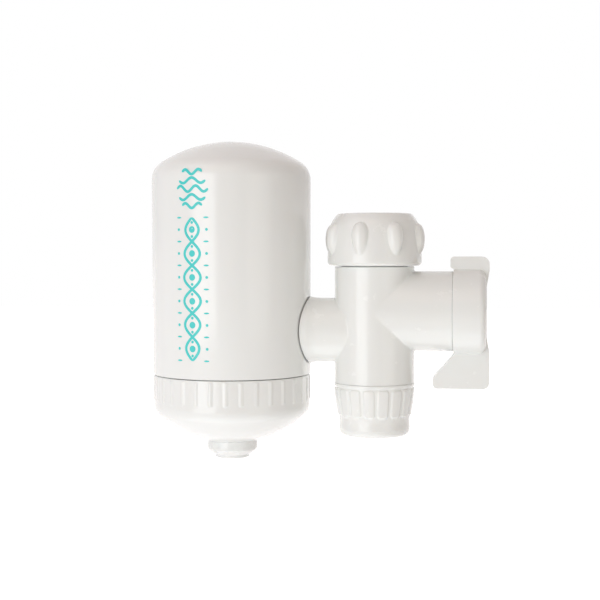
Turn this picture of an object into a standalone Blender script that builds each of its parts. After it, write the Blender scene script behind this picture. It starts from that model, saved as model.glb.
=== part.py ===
# A water filter that screws onto a kitchen tap: a domed canister with a screwed bottom cap, joined by
# a pipe to a valve with a lobed inlet nut on top, a lever knob at the side and a spray outlet below.
# Metres, +Z up. The origin is on the inlet axis, at the top face of the inlet washer. The knob is
# towards +X and the canister towards -X.

import bpy
import bmesh
from math import asin, cos, gcd, pi, radians, sin, sqrt, tau
from mathutils import Vector

# Sizes are in metres, and round sizes are radii unless the name says otherwise.
GAP = 0.0003                   # left between pieces that touch
EDGE = 0.0005                  # small broken edge on moulded pieces

# Inlet washer, strainer and thread insert
WASHER_THICKNESS = 0.0020
WASHER_BORE = 0.0070
THREAD_BORE = 0.0109
INSERT_WALL = 0.0030
INSERT_LENGTH = 0.0095
INSERT_RIBS = 8
STRAINER_RADIUS = 0.0086
STRAINER_THICKNESS = 0.0006
STRAINER_HOLE = 0.0011
STRAINER_HOLES = 6             # in the outer circle, and half as many in the inner one
STRAINER_CIRCLES = (0.30, 0.68)

# Inlet nut and the clip that holds it on the valve's neck
NUT_RADIUS = 0.0181
NUT_TOP_RADIUS = 0.0148
NUT_SHOULDER_RADIUS = 0.0171
NUT_SHOULDER_DROP = 0.0045
NUT_TOP_LIP = 0.0026
NUT_MOUTH = 0.0120
NUT_FLOOR = 0.0036
NUT_CORNER = 0.0016
LOBES = 8
LOBE_LENGTH = 0.0134
LOBE_WIDTH = 0.0062
LOBE_REACH = 0.0199            # how far the lobes stand from the axis
LOBE_DROP = 0.0094             # from the nut's top to the middle of a lobe
LOBE_TURN = radians(-13.6)
LOBE_FULLNESS = 0.18           # how much wider a lobe is above its middle than below
NECK_RADIUS = 0.0125
NECK_COLLAR = 0.0019
NECK_GROOVE_DEPTH = 0.0014
CLIP_THICKNESS = 0.0012
CLIP_MOUTH = radians(50.0)

# Valve body: the upright tube, the barrel towards the knob and the pipe towards the canister
TUBE_RADIUS = 0.0153
BARREL_RADIUS = 0.0153
BARREL_BELOW_SHOULDER = 0.0171
BARREL_LENGTH = 0.0300
TUBE_BELOW_BARREL = 0.0275
PIPE_RADIUS = 0.0124
PIPE_FLARE = 0.0006
PIPE_FLARE_LENGTH = 0.0040
PIPE_BELOW_BARREL = 0.0074
PIPE_LENGTH = 0.0097
PORT_BORE = 0.0072
PIPE_BORE = 0.0055
SPIGOT_RADIUS = 0.0085
OUTLET_NECK_RADIUS = 0.0114
OUTLET_NECK_LENGTH = 0.0100

# Spool, its seals and the gland that keeps it in
SPOOL_RADIUS = 0.0082
SPOOL_END_WALL = 0.0022
SPOOL_CUP = 0.0055
SPOOL_CUP_DEPTH = 0.0024
SPOOL_PASSAGE = 0.0027
PASSAGE_SPREAD = 0.0036        # of each passage from the inlet axis
SEAL_WIDTH = 0.0014
SEAL_DEPTH = 0.0010
INNER_SEAL_INSET = 0.0005
OUTER_SEAL_PLACE = 0.0095
STEM_RADIUS = 0.0058
GLAND_RADIUS = 0.0110
GLAND_LENGTH = 0.0074

# Knob
KNOB_RADIUS = 0.0163
KNOB_DEPTH = 0.0122
KNOB_WALL = 0.0020
KNOB_EDGE = 0.0026
KNOB_FRONT = 0.0042
KNOB_HUB = 0.0085
LEVER_THICKNESS = 0.0090
LEVER_UP = 0.0209              # from the barrel's axis to the short end
LEVER_DOWN = 0.0294            # and to the long end
LEVER_HOOK = 0.0078            # how far the long end reaches back over the barrel
LEVER_LIP = 0.0012             # and the short end
LEVER_PROUD = 0.0013           # how far the ends stand in front of the knob's face
LEVER_DISH = 0.0010            # and in front of the bar's middle
LEVER_TIP_HEIGHT = 0.0042
LEVER_ROUND = 0.0016
LEVER_BEVEL = 0.0007
SCREW_SHANK = 0.0015
SCREW_HEAD = 0.0026
SCREW_HEAD_THICKNESS = 0.0021
SCREW_LENGTH = 0.0100
SCREW_SLOT = 0.0008
SCREW_SLOT_REACH = 0.0018
COVER_RADIUS = 0.0034
COVER_THICKNESS = 0.0010

# Spray outlet
RING_LENGTH = 0.0199
RING_BOTTOM_RADIUS = 0.0135
RING_CORNER = 0.0020
RING_WAIST_RADIUS = 0.0150
RING_WAIST_DROP = 0.0072
RING_FLUTES = 17
RING_FLUTE_DEPTH = 0.0004
RING_FLUTE_TOP = 0.0018
RING_FLUTE_BOTTOM = 0.0122
GASKET_THICKNESS = 0.0015
SPRAY_FLANGE = 0.0020
SPRAY_FACE_RADIUS = 0.0086
SPRAY_PLATE_THICKNESS = 0.0016
SPRAY_INSET = 0.0008
SPRAY_HOLE = 0.0009
SPRAY_HOLES = 10               # in the outer circle, and half as many in the inner one
SPRAY_CIRCLES = (0.38, 0.76)

# Canister shell
CANISTER_RADIUS = 0.0310
CANISTER_HEIGHT = 0.0902       # from the seam to the top of the dome
CANISTER_WALL = 0.0026
CANISTER_DRAFT = 0.00025
CROWN_FLATNESS = 0.0190        # how much larger the dome's radius is than the canister's
SHOULDER_RADIUS = 0.0080
SEAM_BELOW_PIPE = 0.0172
MOUTH_WALL = 0.0026
MOUTH_LENGTH = 0.0100
MOUTH_TAPER = 0.0030

# Pipe gasket and lock nut inside the canister
PIPE_GASKET_RADIUS = 0.0110
PIPE_GASKET_THICKNESS = 0.0012
PIPE_NUT_THICKNESS = 0.0035
PAD_MARGIN = 0.0005
SPIGOT_PROUD = 0.0005

# Bottom cap, its seal and the nozzle
CAP_STEP = 0.0003              # of the cap's rim inside the canister's side
CAP_DRAFT = 0.0003
CAP_SKIRT = 0.0114
CAP_WALL = 0.0024
CAP_FLATNESS = 0.0113          # how much larger the bottom's radius is than the cap's
CAP_CORNER_RADIUS = 0.0060
CAP_SEAL_THICKNESS = 0.0015
CAP_FLUTES = 33
CAP_FLUTE_DEPTH = 0.00035
CAP_FLUTE_LENGTH = 0.0098
CAP_SEAT_MARGIN = 0.0003
SOCKET_BORE = 0.0050
SOCKET_WALL = 0.0025
SOCKET_HEIGHT = 0.0112         # from the cap's outside seat to the socket's rim
NOZZLE_RADIUS = 0.0097
NOZZLE_TIP_RADIUS = 0.0067
NOZZLE_COLLAR = 0.0034
NOZZLE_TAPER = 0.0020
NOZZLE_TIP = 0.0012
NOZZLE_BORE = 0.0035
NOZZLE_PLUG = 0.0058
NOZZLE_PLUG_LENGTH = 0.0036

# Ceramic candle and what is in it
CANDLE_WALL = 0.0050
CANDLE_CLEARANCE = 0.0010      # between the candle and the pipe's spigot
CANDLE_HEADROOM = 0.0110
CANDLE_FLATNESS = 0.0050       # how much larger the radius of its top is than its own
CANDLE_CORNER_RADIUS = 0.0080
BASE_WALL = 0.0020
BASE_FLOOR = 0.0030
BASE_CUP = 0.0060
STEM_BORE = 0.0025
STEM_IN_SOCKET = 0.0056
BASE_GASKET_RADIUS = 0.0080
BASE_GASKET_THICKNESS = 0.0015
FELT_THICKNESS = 0.0030
CORE_HEADROOM = 0.0100

# Facets around each round piece
FINE = 36
ROUND = 24
INSIDE = 20
SMALL = 16
HOLE = 6

# Heights that follow from the sizes
neckTop = -(WASHER_THICKNESS + GAP)
insertBottom = neckTop + GAP
insertTop = insertBottom + INSERT_LENGTH
insertRadius = THREAD_BORE + INSERT_WALL
nutBore = insertRadius + GAP
nutTop = insertTop + GAP + NUT_TOP_LIP
clipTop = neckTop - NECK_COLLAR - GAP
clipBottom = clipTop - CLIP_THICKNESS
nutFloorTop = clipBottom - GAP
nutBottom = nutFloorTop - NUT_FLOOR
tubeTop = nutBottom - GAP
barrelZ = tubeTop - BARREL_BELOW_SHOULDER
pipeZ = barrelZ - PIPE_BELOW_BARREL
tubeBottom = barrelZ - TUBE_BELOW_BARREL
outletNeckBottom = tubeBottom - OUTLET_NECK_LENGTH
seamZ = pipeZ - SEAM_BELOW_PIPE
canisterTop = seamZ + CANISTER_HEIGHT

# Places along X
canisterX = -(TUBE_RADIUS + PIPE_LENGTH + CANISTER_RADIUS)
shellInner = CANISTER_RADIUS - CANISTER_WALL
padRadius = PIPE_GASKET_RADIUS + PAD_MARGIN
padFace = sqrt(shellInner ** 2 - padRadius ** 2)
pipeGasketFace = padFace - GAP
pipeNutFace = pipeGasketFace - PIPE_GASKET_THICKNESS - GAP
spigotEnd = pipeNutFace - PIPE_NUT_THICKNESS - SPIGOT_PROUD
candleRadius = spigotEnd - CANDLE_CLEARANCE
spoolBore = SPOOL_RADIUS + GAP
boreEnd = -(sqrt(TUBE_RADIUS ** 2 - spoolBore ** 2) - SPOOL_END_WALL)
spoolStart = boreEnd + GAP
glandSeat = BARREL_LENGTH - GAP - GLAND_LENGTH - GAP
knobStart = BARREL_LENGTH + GAP
knobFace = knobStart + KNOB_DEPTH
knobInside = knobFace - KNOB_FRONT
leverMiddle = knobFace + LEVER_PROUD - LEVER_DISH

# The mouth of the canister, and the cap that screws over it
capRadius = CANISTER_RADIUS - CAP_STEP
capCrown = capRadius + CAP_FLATNESS
capInner = capRadius - CAP_DRAFT - CAP_WALL
mouthOuter = capInner - GAP
mouthInner = mouthOuter - MOUTH_WALL
mouthBottom = seamZ - MOUTH_LENGTH
capTop = seamZ - GAP
capLedge = mouthBottom - GAP - CAP_SEAL_THICKNESS - GAP
capSkirtBottom = capTop - CAP_SKIRT


def clear_scene():
    for thing in list(bpy.data.objects):
        bpy.data.objects.remove(thing, do_unlink=True)


def plastic(name, colour, roughness, metallic=0.0):
    """A plain material with its colour as linear red, green and blue."""
    material = bpy.data.materials.new(name)
    material.use_nodes = True
    shader = material.node_tree.nodes["Principled BSDF"]
    shader.inputs["Base Color"].default_value = (*colour, 1.0)
    shader.inputs["Roughness"].default_value = roughness
    shader.inputs["Metallic"].default_value = metallic
    material.diffuse_color = (*colour, 1.0)
    return material


def arc(centre, radius, start, end, steps):
    """Points on an arc in the (radius, height) plane. Angles run anticlockwise from +radius."""
    turns = [start + (end - start) * i / steps for i in range(steps + 1)]
    return [(centre[0] + radius * cos(t), centre[1] + radius * sin(t)) for t in turns]


def domed(radius, crown, corner, top, steps=3):
    """The outline of a dome from its top on the axis to its straight wall, falling from the top."""
    slope = asin((radius - corner) / (crown - corner))
    crownZ = top - crown
    cornerZ = crownZ + (crown - corner) * cos(slope)
    over = arc((0.0, crownZ), crown, pi / 2, pi / 2 - slope, steps)
    down = arc((radius - corner, cornerZ), corner, pi / 2 - slope, 0.0, steps)
    return over[:-1] + down


def filleted(corners, steps=2):
    """A closed outline from (x, y, fillet) corners, each round one as an arc that meets both sides."""
    points = []
    for i, (x, y, fillet) in enumerate(corners):
        here = Vector((x, y))
        if fillet == 0.0:
            points.append((x, y))
            continue
        before = (Vector(corners[i - 1][:2]) - here).normalized()
        after = (Vector(corners[(i + 1) % len(corners)][:2]) - here).normalized()
        half = before.angle(after) / 2
        centre = here + (before + after).normalized() * (fillet / sin(half))
        first = here + before * (fillet * cos(half) / sin(half)) - centre
        last = here + after * (fillet * cos(half) / sin(half)) - centre
        for k in range(steps + 1):
            spoke = first.lerp(last, k / steps).normalized()
            points.append(tuple(centre + spoke * fillet))
    return points


def mesh_object(name, bm, material=None, smooth=radians(32.0)):
    """Closes a bmesh into an object, its faces pointing out and its round parts shaded smooth."""
    bmesh.ops.remove_doubles(bm, verts=bm.verts, dist=1e-7)
    bmesh.ops.recalc_face_normals(bm, faces=bm.faces)
    mesh = bpy.data.meshes.new(name)
    bm.to_mesh(mesh)
    bm.free()
    mesh.shade_smooth()
    mesh.set_sharp_from_angle(angle=smooth)
    thing = bpy.data.objects.new(name, mesh)
    bpy.context.scene.collection.objects.link(thing)
    if material:
        mesh.materials.append(material)
    return thing


def turned(name, outline, segments, material=None, turn=0.0):
    """Spins an outline of (radius, height) points about Z. It closes unless it starts on the axis."""
    bm = bmesh.new()
    verts = [bm.verts.new((r * cos(turn), r * sin(turn), z)) for r, z in outline]
    edges = [bm.edges.new(pair) for pair in zip(verts, verts[1:])]
    if outline[0][0] > 0.0:
        edges.append(bm.edges.new((verts[-1], verts[0])))
    bmesh.ops.spin(bm, geom=verts + edges, axis=(0, 0, 1), cent=(0, 0, 0), angle=tau,
                   steps=segments, use_merge=True)
    return mesh_object(name, bm, material)


def rod(name, radius, start, end, segments, material=None, turn=0.0):
    return turned(name, [(0.0, start), (radius, start), (radius, end), (0.0, end)], segments, material, turn)


def tube(name, inner, outer, start, end, segments, material=None, turn=0.0):
    outline = [(inner, start), (outer, start), (outer, end), (inner, end)]
    return turned(name, outline, segments, material, turn)


def stretch(ring, place_in_ring, stretches):
    """One of a closed ring's equal stretches, with the points at both its ends."""
    share = len(ring) // stretches
    return [ring[(place_in_ring * share + i) % len(ring)] for i in range(share + 1)]


def fluted(name, outline, flutes, sides, depth_at, plain_sides, material=None):
    """Spins an outline with shallow hollows around it, as deep at each height as depth_at gives.

    A hollow has this many sides, and where there is none the round has plain_sides for each flute."""
    bm = bmesh.new()
    rings = []
    for r, z in outline:
        count = sides if depth_at(z) else plain_sides
        ring = []
        for i in range(flutes * count):
            reach = r - sin(pi * (i % count) / count) * depth_at(z)
            angle = tau * i / (flutes * count)
            ring.append(bm.verts.new((reach * cos(angle), reach * sin(angle), z)))
        rings.append(ring)
    for upper, lower in zip(rings, rings[1:]):
        panels = gcd(len(upper), len(lower))
        for k in range(panels):
            bm.faces.new(stretch(upper, k, panels) + stretch(lower, k, panels)[::-1])
    for ring in (rings[0], rings[-1]):
        bm.faces.new(ring)
    return mesh_object(name, bm, material)


def prism(name, outline, thickness, bevel, material=None):
    """Extrudes an outline in the XZ plane to both sides of Y = 0, with its long edges bevelled."""
    bm = bmesh.new()
    face = bm.faces.new([bm.verts.new((x, -thickness / 2, z)) for x, z in outline])
    made = bmesh.ops.extrude_face_region(bm, geom=[face])["geom"]
    far = [v for v in made if isinstance(v, bmesh.types.BMVert)]
    bmesh.ops.translate(bm, verts=far, vec=(0, thickness, 0))
    rims = [e for e in bm.edges if abs(e.verts[0].co.y - e.verts[1].co.y) < GAP]
    bmesh.ops.bevel(bm, geom=rims, offset=bevel, segments=1, affect="EDGES")
    return mesh_object(name, bm, material)


def guide(thing):
    """Hides a cutter, or a solid that is joined to another."""
    thing.hide_render = True
    thing.display_type = "WIRE"
    return thing


def shape(thing, operation, other):
    step = thing.modifiers.new(other.name, "BOOLEAN")
    step.operation = operation
    step.solver = "EXACT"
    step.object = guide(other)
    return thing


def cut(thing, *cutters):
    for cutter in cutters:
        shape(thing, "DIFFERENCE", cutter)
    return thing


def join(thing, *others):
    for other in others:
        shape(thing, "UNION", other)
    return thing


def place(things, location, turn_y=0.0):
    for thing in things:
        thing.location = location
        thing.rotation_euler = (0.0, turn_y, 0.0)
    return things


def axle(name, location, pieces):
    """An empty on a joint's axis, with the pieces that turn about it as its children."""
    empty = bpy.data.objects.new(name, None)
    empty.location = location
    bpy.context.scene.collection.objects.link(empty)
    for piece in pieces:
        piece.parent = empty
        piece.location = piece.location - Vector(location)
    return empty


def ring_of_holes(name, radius, hole, count, start, end):
    """Rods in a circle about Z, as one cutter."""
    bm = bmesh.new()
    for i in range(count):
        angle = tau * i / count
        made = bmesh.ops.create_cone(bm, cap_ends=True, segments=HOLE, radius1=hole, radius2=hole,
                                     depth=end - start)
        middle = (radius * cos(angle), radius * sin(angle), (start + end) / 2)
        bmesh.ops.translate(bm, verts=made["verts"], vec=middle)
    return mesh_object(name, bm)


def inlet_washer(rubber):
    outer = THREAD_BORE - GAP
    return tube("inlet_washer", WASHER_BORE, outer, -WASHER_THICKNESS, 0.0, INSIDE, rubber)


def inlet_strainer(steel):
    top = neckTop
    disc = rod("inlet_strainer", STRAINER_RADIUS, top - STRAINER_THICKNESS, top, SMALL, steel)
    for share, count in zip(STRAINER_CIRCLES, (STRAINER_HOLES // 2, STRAINER_HOLES)):
        cut(disc, ring_of_holes("strainer_holes", WASHER_BORE * share, STRAINER_HOLE, count,
                                top - STRAINER_THICKNESS - GAP, top + GAP))
    return disc


def thread_insert(brass):
    """A ribbed metal sleeve, moulded into the nut, that holds the thread."""
    bm = bmesh.new()
    segments = INSERT_RIBS * 4
    for side in (0, 1):
        z = (insertBottom, insertTop)[side]
        for i in range(segments):
            angle = tau * i / segments
            outer = insertRadius - (EDGE if i % 4 < 2 else 0.0)
            bm.verts.new((outer * cos(angle), outer * sin(angle), z))
            bm.verts.new((THREAD_BORE * cos(angle), THREAD_BORE * sin(angle), z))
    bm.verts.ensure_lookup_table()
    low, high = 0, 2 * segments
    for i in range(segments):
        a, b = 2 * i, 2 * ((i + 1) % segments)
        quads = ((low + a, low + b, high + b, high + a),
                 (low + a + 1, high + a + 1, high + b + 1, low + b + 1),
                 (high + a, high + b, high + b + 1, high + a + 1),
                 (low + a, low + a + 1, low + b + 1, low + b))
        for quad in quads:
            bm.faces.new([bm.verts[k] for k in quad])
    return mesh_object("thread_insert", bm, brass)


def lobe(name, angle):
    """One finger grip of the nut: an egg standing out of its side, fuller above its middle."""
    bm = bmesh.new()
    bmesh.ops.create_uvsphere(bm, u_segments=8, v_segments=5, radius=1.0)
    depth = LOBE_REACH - NUT_RADIUS + LOBE_WIDTH / 4
    for v in bm.verts:
        blunt = (1.0 - abs(v.co.z) ** 3) ** (1 / 3) / max(sqrt(1.0 - min(v.co.z ** 2, 1.0)), GAP)
        width = blunt * (1.0 + LOBE_FULLNESS * v.co.z) * LOBE_WIDTH / 2
        v.co = Vector((v.co.x * blunt * depth, v.co.y * width, v.co.z * LOBE_LENGTH / 2))
    bmesh.ops.translate(bm, verts=bm.verts, vec=(LOBE_REACH - depth, 0.0, nutTop - LOBE_DROP))
    egg = mesh_object(name, bm)
    egg.rotation_euler = (0.0, 0.0, angle)
    return egg


def inlet_nut(plain):
    shoulderZ = nutTop - NUT_SHOULDER_DROP
    outline = [(0.0, nutTop), (NUT_TOP_RADIUS - EDGE, nutTop), (NUT_TOP_RADIUS, nutTop - EDGE)]
    outline += [((NUT_TOP_RADIUS + NUT_SHOULDER_RADIUS) / 2 + EDGE, (nutTop + shoulderZ) / 2 + EDGE)]
    outline += [(NUT_SHOULDER_RADIUS, shoulderZ), (NUT_RADIUS, (nutTop + nutBottom) / 2 - NUT_FLOOR)]
    outline += arc((NUT_RADIUS - NUT_CORNER, nutBottom + NUT_CORNER), NUT_CORNER, 0.0, -pi / 2, 2)
    outline += [(0.0, nutBottom)]
    nut = turned("inlet_nut", outline, LOBES * 5, plain, LOBE_TURN - pi / 2)
    for i in range(LOBES):
        join(nut, lobe(f"lobe_{i + 1}", LOBE_TURN - pi / 2 + tau * i / LOBES))
    floorBore = NECK_RADIUS + GAP
    bore = turned("nut_bore", [(0.0, nutTop + GAP), (NUT_MOUTH, nutTop + GAP), (NUT_MOUTH, insertTop + GAP),
                               (nutBore, insertTop + GAP), (nutBore, nutFloorTop), (floorBore, nutFloorTop),
                               (floorBore, nutBottom - GAP), (0.0, nutBottom - GAP)], INSIDE)
    return cut(nut, bore)


def nut_clip(steel):
    """A split ring in the neck's groove, which the nut's floor hangs on."""
    inner = NECK_RADIUS - NECK_GROOVE_DEPTH + GAP
    ring = tube("nut_clip", inner, insertRadius, clipBottom, clipTop, INSIDE, steel)
    bm = bmesh.new()
    wedge = [(0.0, 0.0), (2 * nutBore, -2 * nutBore * sin(CLIP_MOUTH / 2)),
             (2 * nutBore, 2 * nutBore * sin(CLIP_MOUTH / 2))]
    face = bm.faces.new([bm.verts.new((x, y, clipBottom - CLIP_THICKNESS)) for x, y in wedge])
    made = bmesh.ops.extrude_face_region(bm, geom=[face])["geom"]
    top = [v for v in made if isinstance(v, bmesh.types.BMVert)]
    bmesh.ops.translate(bm, verts=top, vec=(0, 0, 3 * CLIP_THICKNESS))
    return cut(ring, mesh_object("clip_mouth", bm))


def valve_body(plain):
    """The tube with its neck and outlet neck, the barrel and the pipe, bored for the water and the spool."""
    groove = NECK_RADIUS - NECK_GROOVE_DEPTH
    outline = [(0.0, neckTop), (NECK_RADIUS, neckTop), (NECK_RADIUS, clipTop + GAP), (groove, clipTop + GAP)]
    outline += [(groove, nutFloorTop), (NECK_RADIUS, nutFloorTop), (NECK_RADIUS, tubeTop)]
    outline += [(TUBE_RADIUS - EDGE, tubeTop), (TUBE_RADIUS, tubeTop - EDGE), (TUBE_RADIUS, tubeBottom)]
    outline += [(OUTLET_NECK_RADIUS, tubeBottom), (OUTLET_NECK_RADIUS, outletNeckBottom + EDGE)]
    outline += [(OUTLET_NECK_RADIUS - EDGE, outletNeckBottom), (0.0, outletNeckBottom)]
    body = turned("valve_body", outline, ROUND, plain)

    barrel = rod("barrel", BARREL_RADIUS, 0.0, BARREL_LENGTH, ROUND)
    place([barrel], (0, 0, barrelZ), pi / 2)
    canisterSide = -canisterX - sqrt(CANISTER_RADIUS ** 2 - PIPE_RADIUS ** 2)
    flareStart = -canisterX - CANISTER_RADIUS - PIPE_FLARE_LENGTH
    flareRadius = PIPE_RADIUS + PIPE_FLARE
    pipe = turned("pipe", [(0.0, 0.0), (PIPE_RADIUS, 0.0), (PIPE_RADIUS, flareStart),
                           (flareRadius, -canisterX - CANISTER_RADIUS), (flareRadius, canisterSide),
                           (0.0, canisterSide)], ROUND)
    place([pipe], (0, 0, pipeZ), -pi / 2)
    saddle = rod("saddle", CANISTER_RADIUS + GAP, barrelZ - CANISTER_HEIGHT, barrelZ + CANISTER_HEIGHT, FINE)
    place([saddle], (canisterX, 0, 0))
    spigot = rod("spigot", SPIGOT_RADIUS, TUBE_RADIUS, -canisterX - spigotEnd, SMALL)
    place([spigot], (0, 0, pipeZ), -pi / 2)
    cut(join(body, pipe), saddle)
    join(body, spigot, barrel)

    recess = STRAINER_RADIUS + GAP
    seat = neckTop - STRAINER_THICKNESS - GAP
    inlet = turned("inlet_port", [(0.0, neckTop + GAP), (recess, neckTop + GAP), (recess, seat),
                                  (PORT_BORE, seat), (PORT_BORE, barrelZ), (0.0, barrelZ)], SMALL)
    outlet = rod("outlet_port", PORT_BORE, outletNeckBottom - GAP, barrelZ, SMALL)
    gland = GLAND_RADIUS + GAP
    spool = turned("spool_bore", [(0.0, boreEnd), (spoolBore, boreEnd), (spoolBore, glandSeat),
                                  (gland, glandSeat), (gland, BARREL_LENGTH + GAP),
                                  (0.0, BARREL_LENGTH + GAP)], SMALL)
    place([spool], (0, 0, barrelZ), pi / 2)
    channel = rod("pipe_bore", PIPE_BORE, -boreEnd - GAP, -canisterX - spigotEnd + GAP, SMALL)
    place([channel], (0, 0, pipeZ), -pi / 2)
    return cut(body, inlet, outlet, spool, channel)


def valve_spool(plain):
    """Turned by the knob: one passage leads straight down, the other from the front to the pipe."""
    groove = SPOOL_RADIUS - SEAL_DEPTH
    innerSeal = spoolStart + INNER_SEAL_INSET
    stemEnd = knobInside - GAP
    outline = [(0.0, spoolStart + SPOOL_CUP_DEPTH), (SPOOL_CUP, spoolStart + SPOOL_CUP_DEPTH)]
    outline += [(SPOOL_CUP, spoolStart), (SPOOL_RADIUS, spoolStart)]
    for start in (innerSeal, OUTER_SEAL_PLACE):
        outline += [(SPOOL_RADIUS, start), (groove, start)]
        outline += [(groove, start + SEAL_WIDTH), (SPOOL_RADIUS, start + SEAL_WIDTH)]
    outline += [(SPOOL_RADIUS, glandSeat), (STEM_RADIUS, glandSeat)]
    outline += [(STEM_RADIUS, knobStart), (0.0, knobStart)]
    spool = turned("valve_spool", outline, SMALL, plain)
    drive = rod("drive", STEM_RADIUS, glandSeat + GAP, stemEnd, 6)
    join(spool, drive)
    straight = rod("straight_passage", SPOOL_PASSAGE, -2 * SPOOL_RADIUS, 2 * SPOOL_RADIUS, SMALL // 2)
    straight.location = (0, 0, PASSAGE_SPREAD)
    straight.rotation_euler = (0, pi / 2, 0)
    side = rod("side_passage", SPOOL_PASSAGE, 0.0, 2 * SPOOL_RADIUS, SMALL // 2)
    side.location = (0, 0, -PASSAGE_SPREAD)
    side.rotation_euler = (pi / 2, 0, 0)
    along = rod("end_passage", SPOOL_PASSAGE, spoolStart, -PASSAGE_SPREAD, SMALL // 2)
    pilot = rod("screw_pilot", SCREW_SHANK + GAP, stemEnd - SCREW_LENGTH, stemEnd + GAP, HOLE)
    for helper in (drive, straight, side, along, pilot):
        helper.parent = spool
    return cut(spool, straight, side, along, pilot)


def spool_seal(name, start, rubber):
    """A ring of round section in one of the spool's grooves."""
    width = SEAL_WIDTH - 2 * GAP
    inner = SPOOL_RADIUS - SEAL_DEPTH + GAP
    middle = (inner + SPOOL_RADIUS) / 2
    half = (SPOOL_RADIUS - inner) / 2
    z = start + SEAL_WIDTH / 2
    section = [(middle + half * cos(t), z + width / 2 * sin(t)) for t in (tau * i / 5 for i in range(5))]
    return turned(name, section[::-1], SMALL, rubber)


def barrel_gland(plain):
    """Screwed into the barrel's mouth, it stops the spool from being pushed out."""
    start = glandSeat + GAP
    end = start + GLAND_LENGTH
    ring = tube("barrel_gland", STEM_RADIUS + GAP, GLAND_RADIUS, start, end, SMALL, plain)
    key = ring_of_holes("key_holes", (STEM_RADIUS + GAP + GLAND_RADIUS) / 2, SCREW_SHANK, 4,
                        end - GLAND_LENGTH / 3, end + GAP)
    key.parent = ring
    return cut(ring, key)


def lever(name):
    """The bar across the knob: a short lip above, and below a deep fin that hooks back over the barrel."""
    front = knobFace + LEVER_PROUD
    back = knobStart - LEVER_HOOK
    corners = [
        (knobStart - LEVER_LIP, KNOB_RADIUS, LEVER_ROUND / 2),
        (knobStart - LEVER_LIP, LEVER_UP, LEVER_ROUND),
        (front, LEVER_UP, LEVER_ROUND * 2),
        (front, BARREL_RADIUS, 0.0),
        (leverMiddle, 0.0, 0.0),
        (front, -BARREL_RADIUS, 0.0),
        (front, -LEVER_DOWN, LEVER_ROUND * 1.5),
        (back, -LEVER_DOWN, LEVER_ROUND),
        (back, LEVER_TIP_HEIGHT - LEVER_DOWN, LEVER_ROUND / 2),
        (knobStart, -KNOB_RADIUS, 0.0),
        (knobStart + KNOB_WALL, KNOB_WALL - KNOB_RADIUS, 0.0),
        (knobStart + KNOB_WALL, KNOB_RADIUS - KNOB_WALL, 0.0),
        (knobStart, KNOB_RADIUS, 0.0),
    ]
    return prism(name, filleted(corners), LEVER_THICKNESS, LEVER_BEVEL)


def switch_knob(plain):
    middle = (KNOB_RADIUS - KNOB_EDGE, knobFace - KNOB_EDGE)
    outline = [(0.0, knobStart), (KNOB_RADIUS, knobStart)]
    outline += arc(middle, KNOB_EDGE, 0.0, pi / 2, 2) + [(0.0, knobFace)]
    knob = turned("switch_knob", outline, ROUND, plain)
    bar = lever("lever")
    bar.location = (0, 0, barrelZ)
    hollow = tube("knob_hollow", KNOB_HUB, KNOB_RADIUS - KNOB_WALL, knobStart - KNOB_WALL, knobInside, SMALL)
    socket = rod("drive_socket", STEM_RADIUS + GAP / cos(pi / 6), knobStart - GAP, knobInside, 6)
    coverSeat = leverMiddle - COVER_THICKNESS - GAP
    headSeat = coverSeat - SCREW_HEAD_THICKNESS - GAP
    screwHole = turned("screw_hole", [(0.0, knobInside - GAP), (SCREW_SHANK + GAP, knobInside - GAP),
                                      (SCREW_SHANK + GAP, headSeat), (SCREW_HEAD + GAP, headSeat),
                                      (SCREW_HEAD + GAP, coverSeat), (COVER_RADIUS + GAP, coverSeat),
                                      (COVER_RADIUS + GAP, knobFace + LEVER_PROUD + GAP),
                                      (0.0, knobFace + LEVER_PROUD + GAP)], SMALL)
    place([knob, hollow, socket, screwHole], (0, 0, barrelZ), pi / 2)
    return cut(join(knob, bar), hollow, socket, screwHole)


def knob_screw(steel):
    headTop = leverMiddle - COVER_THICKNESS - 2 * GAP
    headBottom = headTop - SCREW_HEAD_THICKNESS + GAP
    outline = [(0.0, headBottom - SCREW_LENGTH), (SCREW_SHANK, headBottom - SCREW_LENGTH + SCREW_SHANK)]
    outline += [(SCREW_SHANK, headBottom), (SCREW_HEAD, headBottom), (SCREW_HEAD, headTop - EDGE)]
    outline += [(SCREW_HEAD - EDGE, headTop), (0.0, headTop)]
    screw = turned("knob_screw", outline, HOLE * 2, steel)
    for turn in (0.0, pi / 2):
        slot = rod("cross_slot", SCREW_SLOT / sqrt(2), -SCREW_SLOT_REACH, SCREW_SLOT_REACH, 4, None, pi / 4)
        slot.location = (0, 0, headTop)
        slot.rotation_euler = (pi / 2, 0, turn)
        slot.parent = screw
        cut(screw, slot)
    return screw


def knob_cover(plain):
    back = leverMiddle - COVER_THICKNESS
    outline = [(0.0, back), (COVER_RADIUS, back), (COVER_RADIUS, leverMiddle - EDGE / 2)]
    outline += [(COVER_RADIUS - EDGE / 2, leverMiddle), (0.0, leverMiddle)]
    return turned("knob_cover", outline, SMALL, plain)


def ring_flute_depth(z):
    top = tubeBottom - GAP - RING_FLUTE_TOP
    bottom = tubeBottom - GAP - RING_FLUTE_BOTTOM
    return RING_FLUTE_DEPTH if bottom <= z <= top else 0.0


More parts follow.
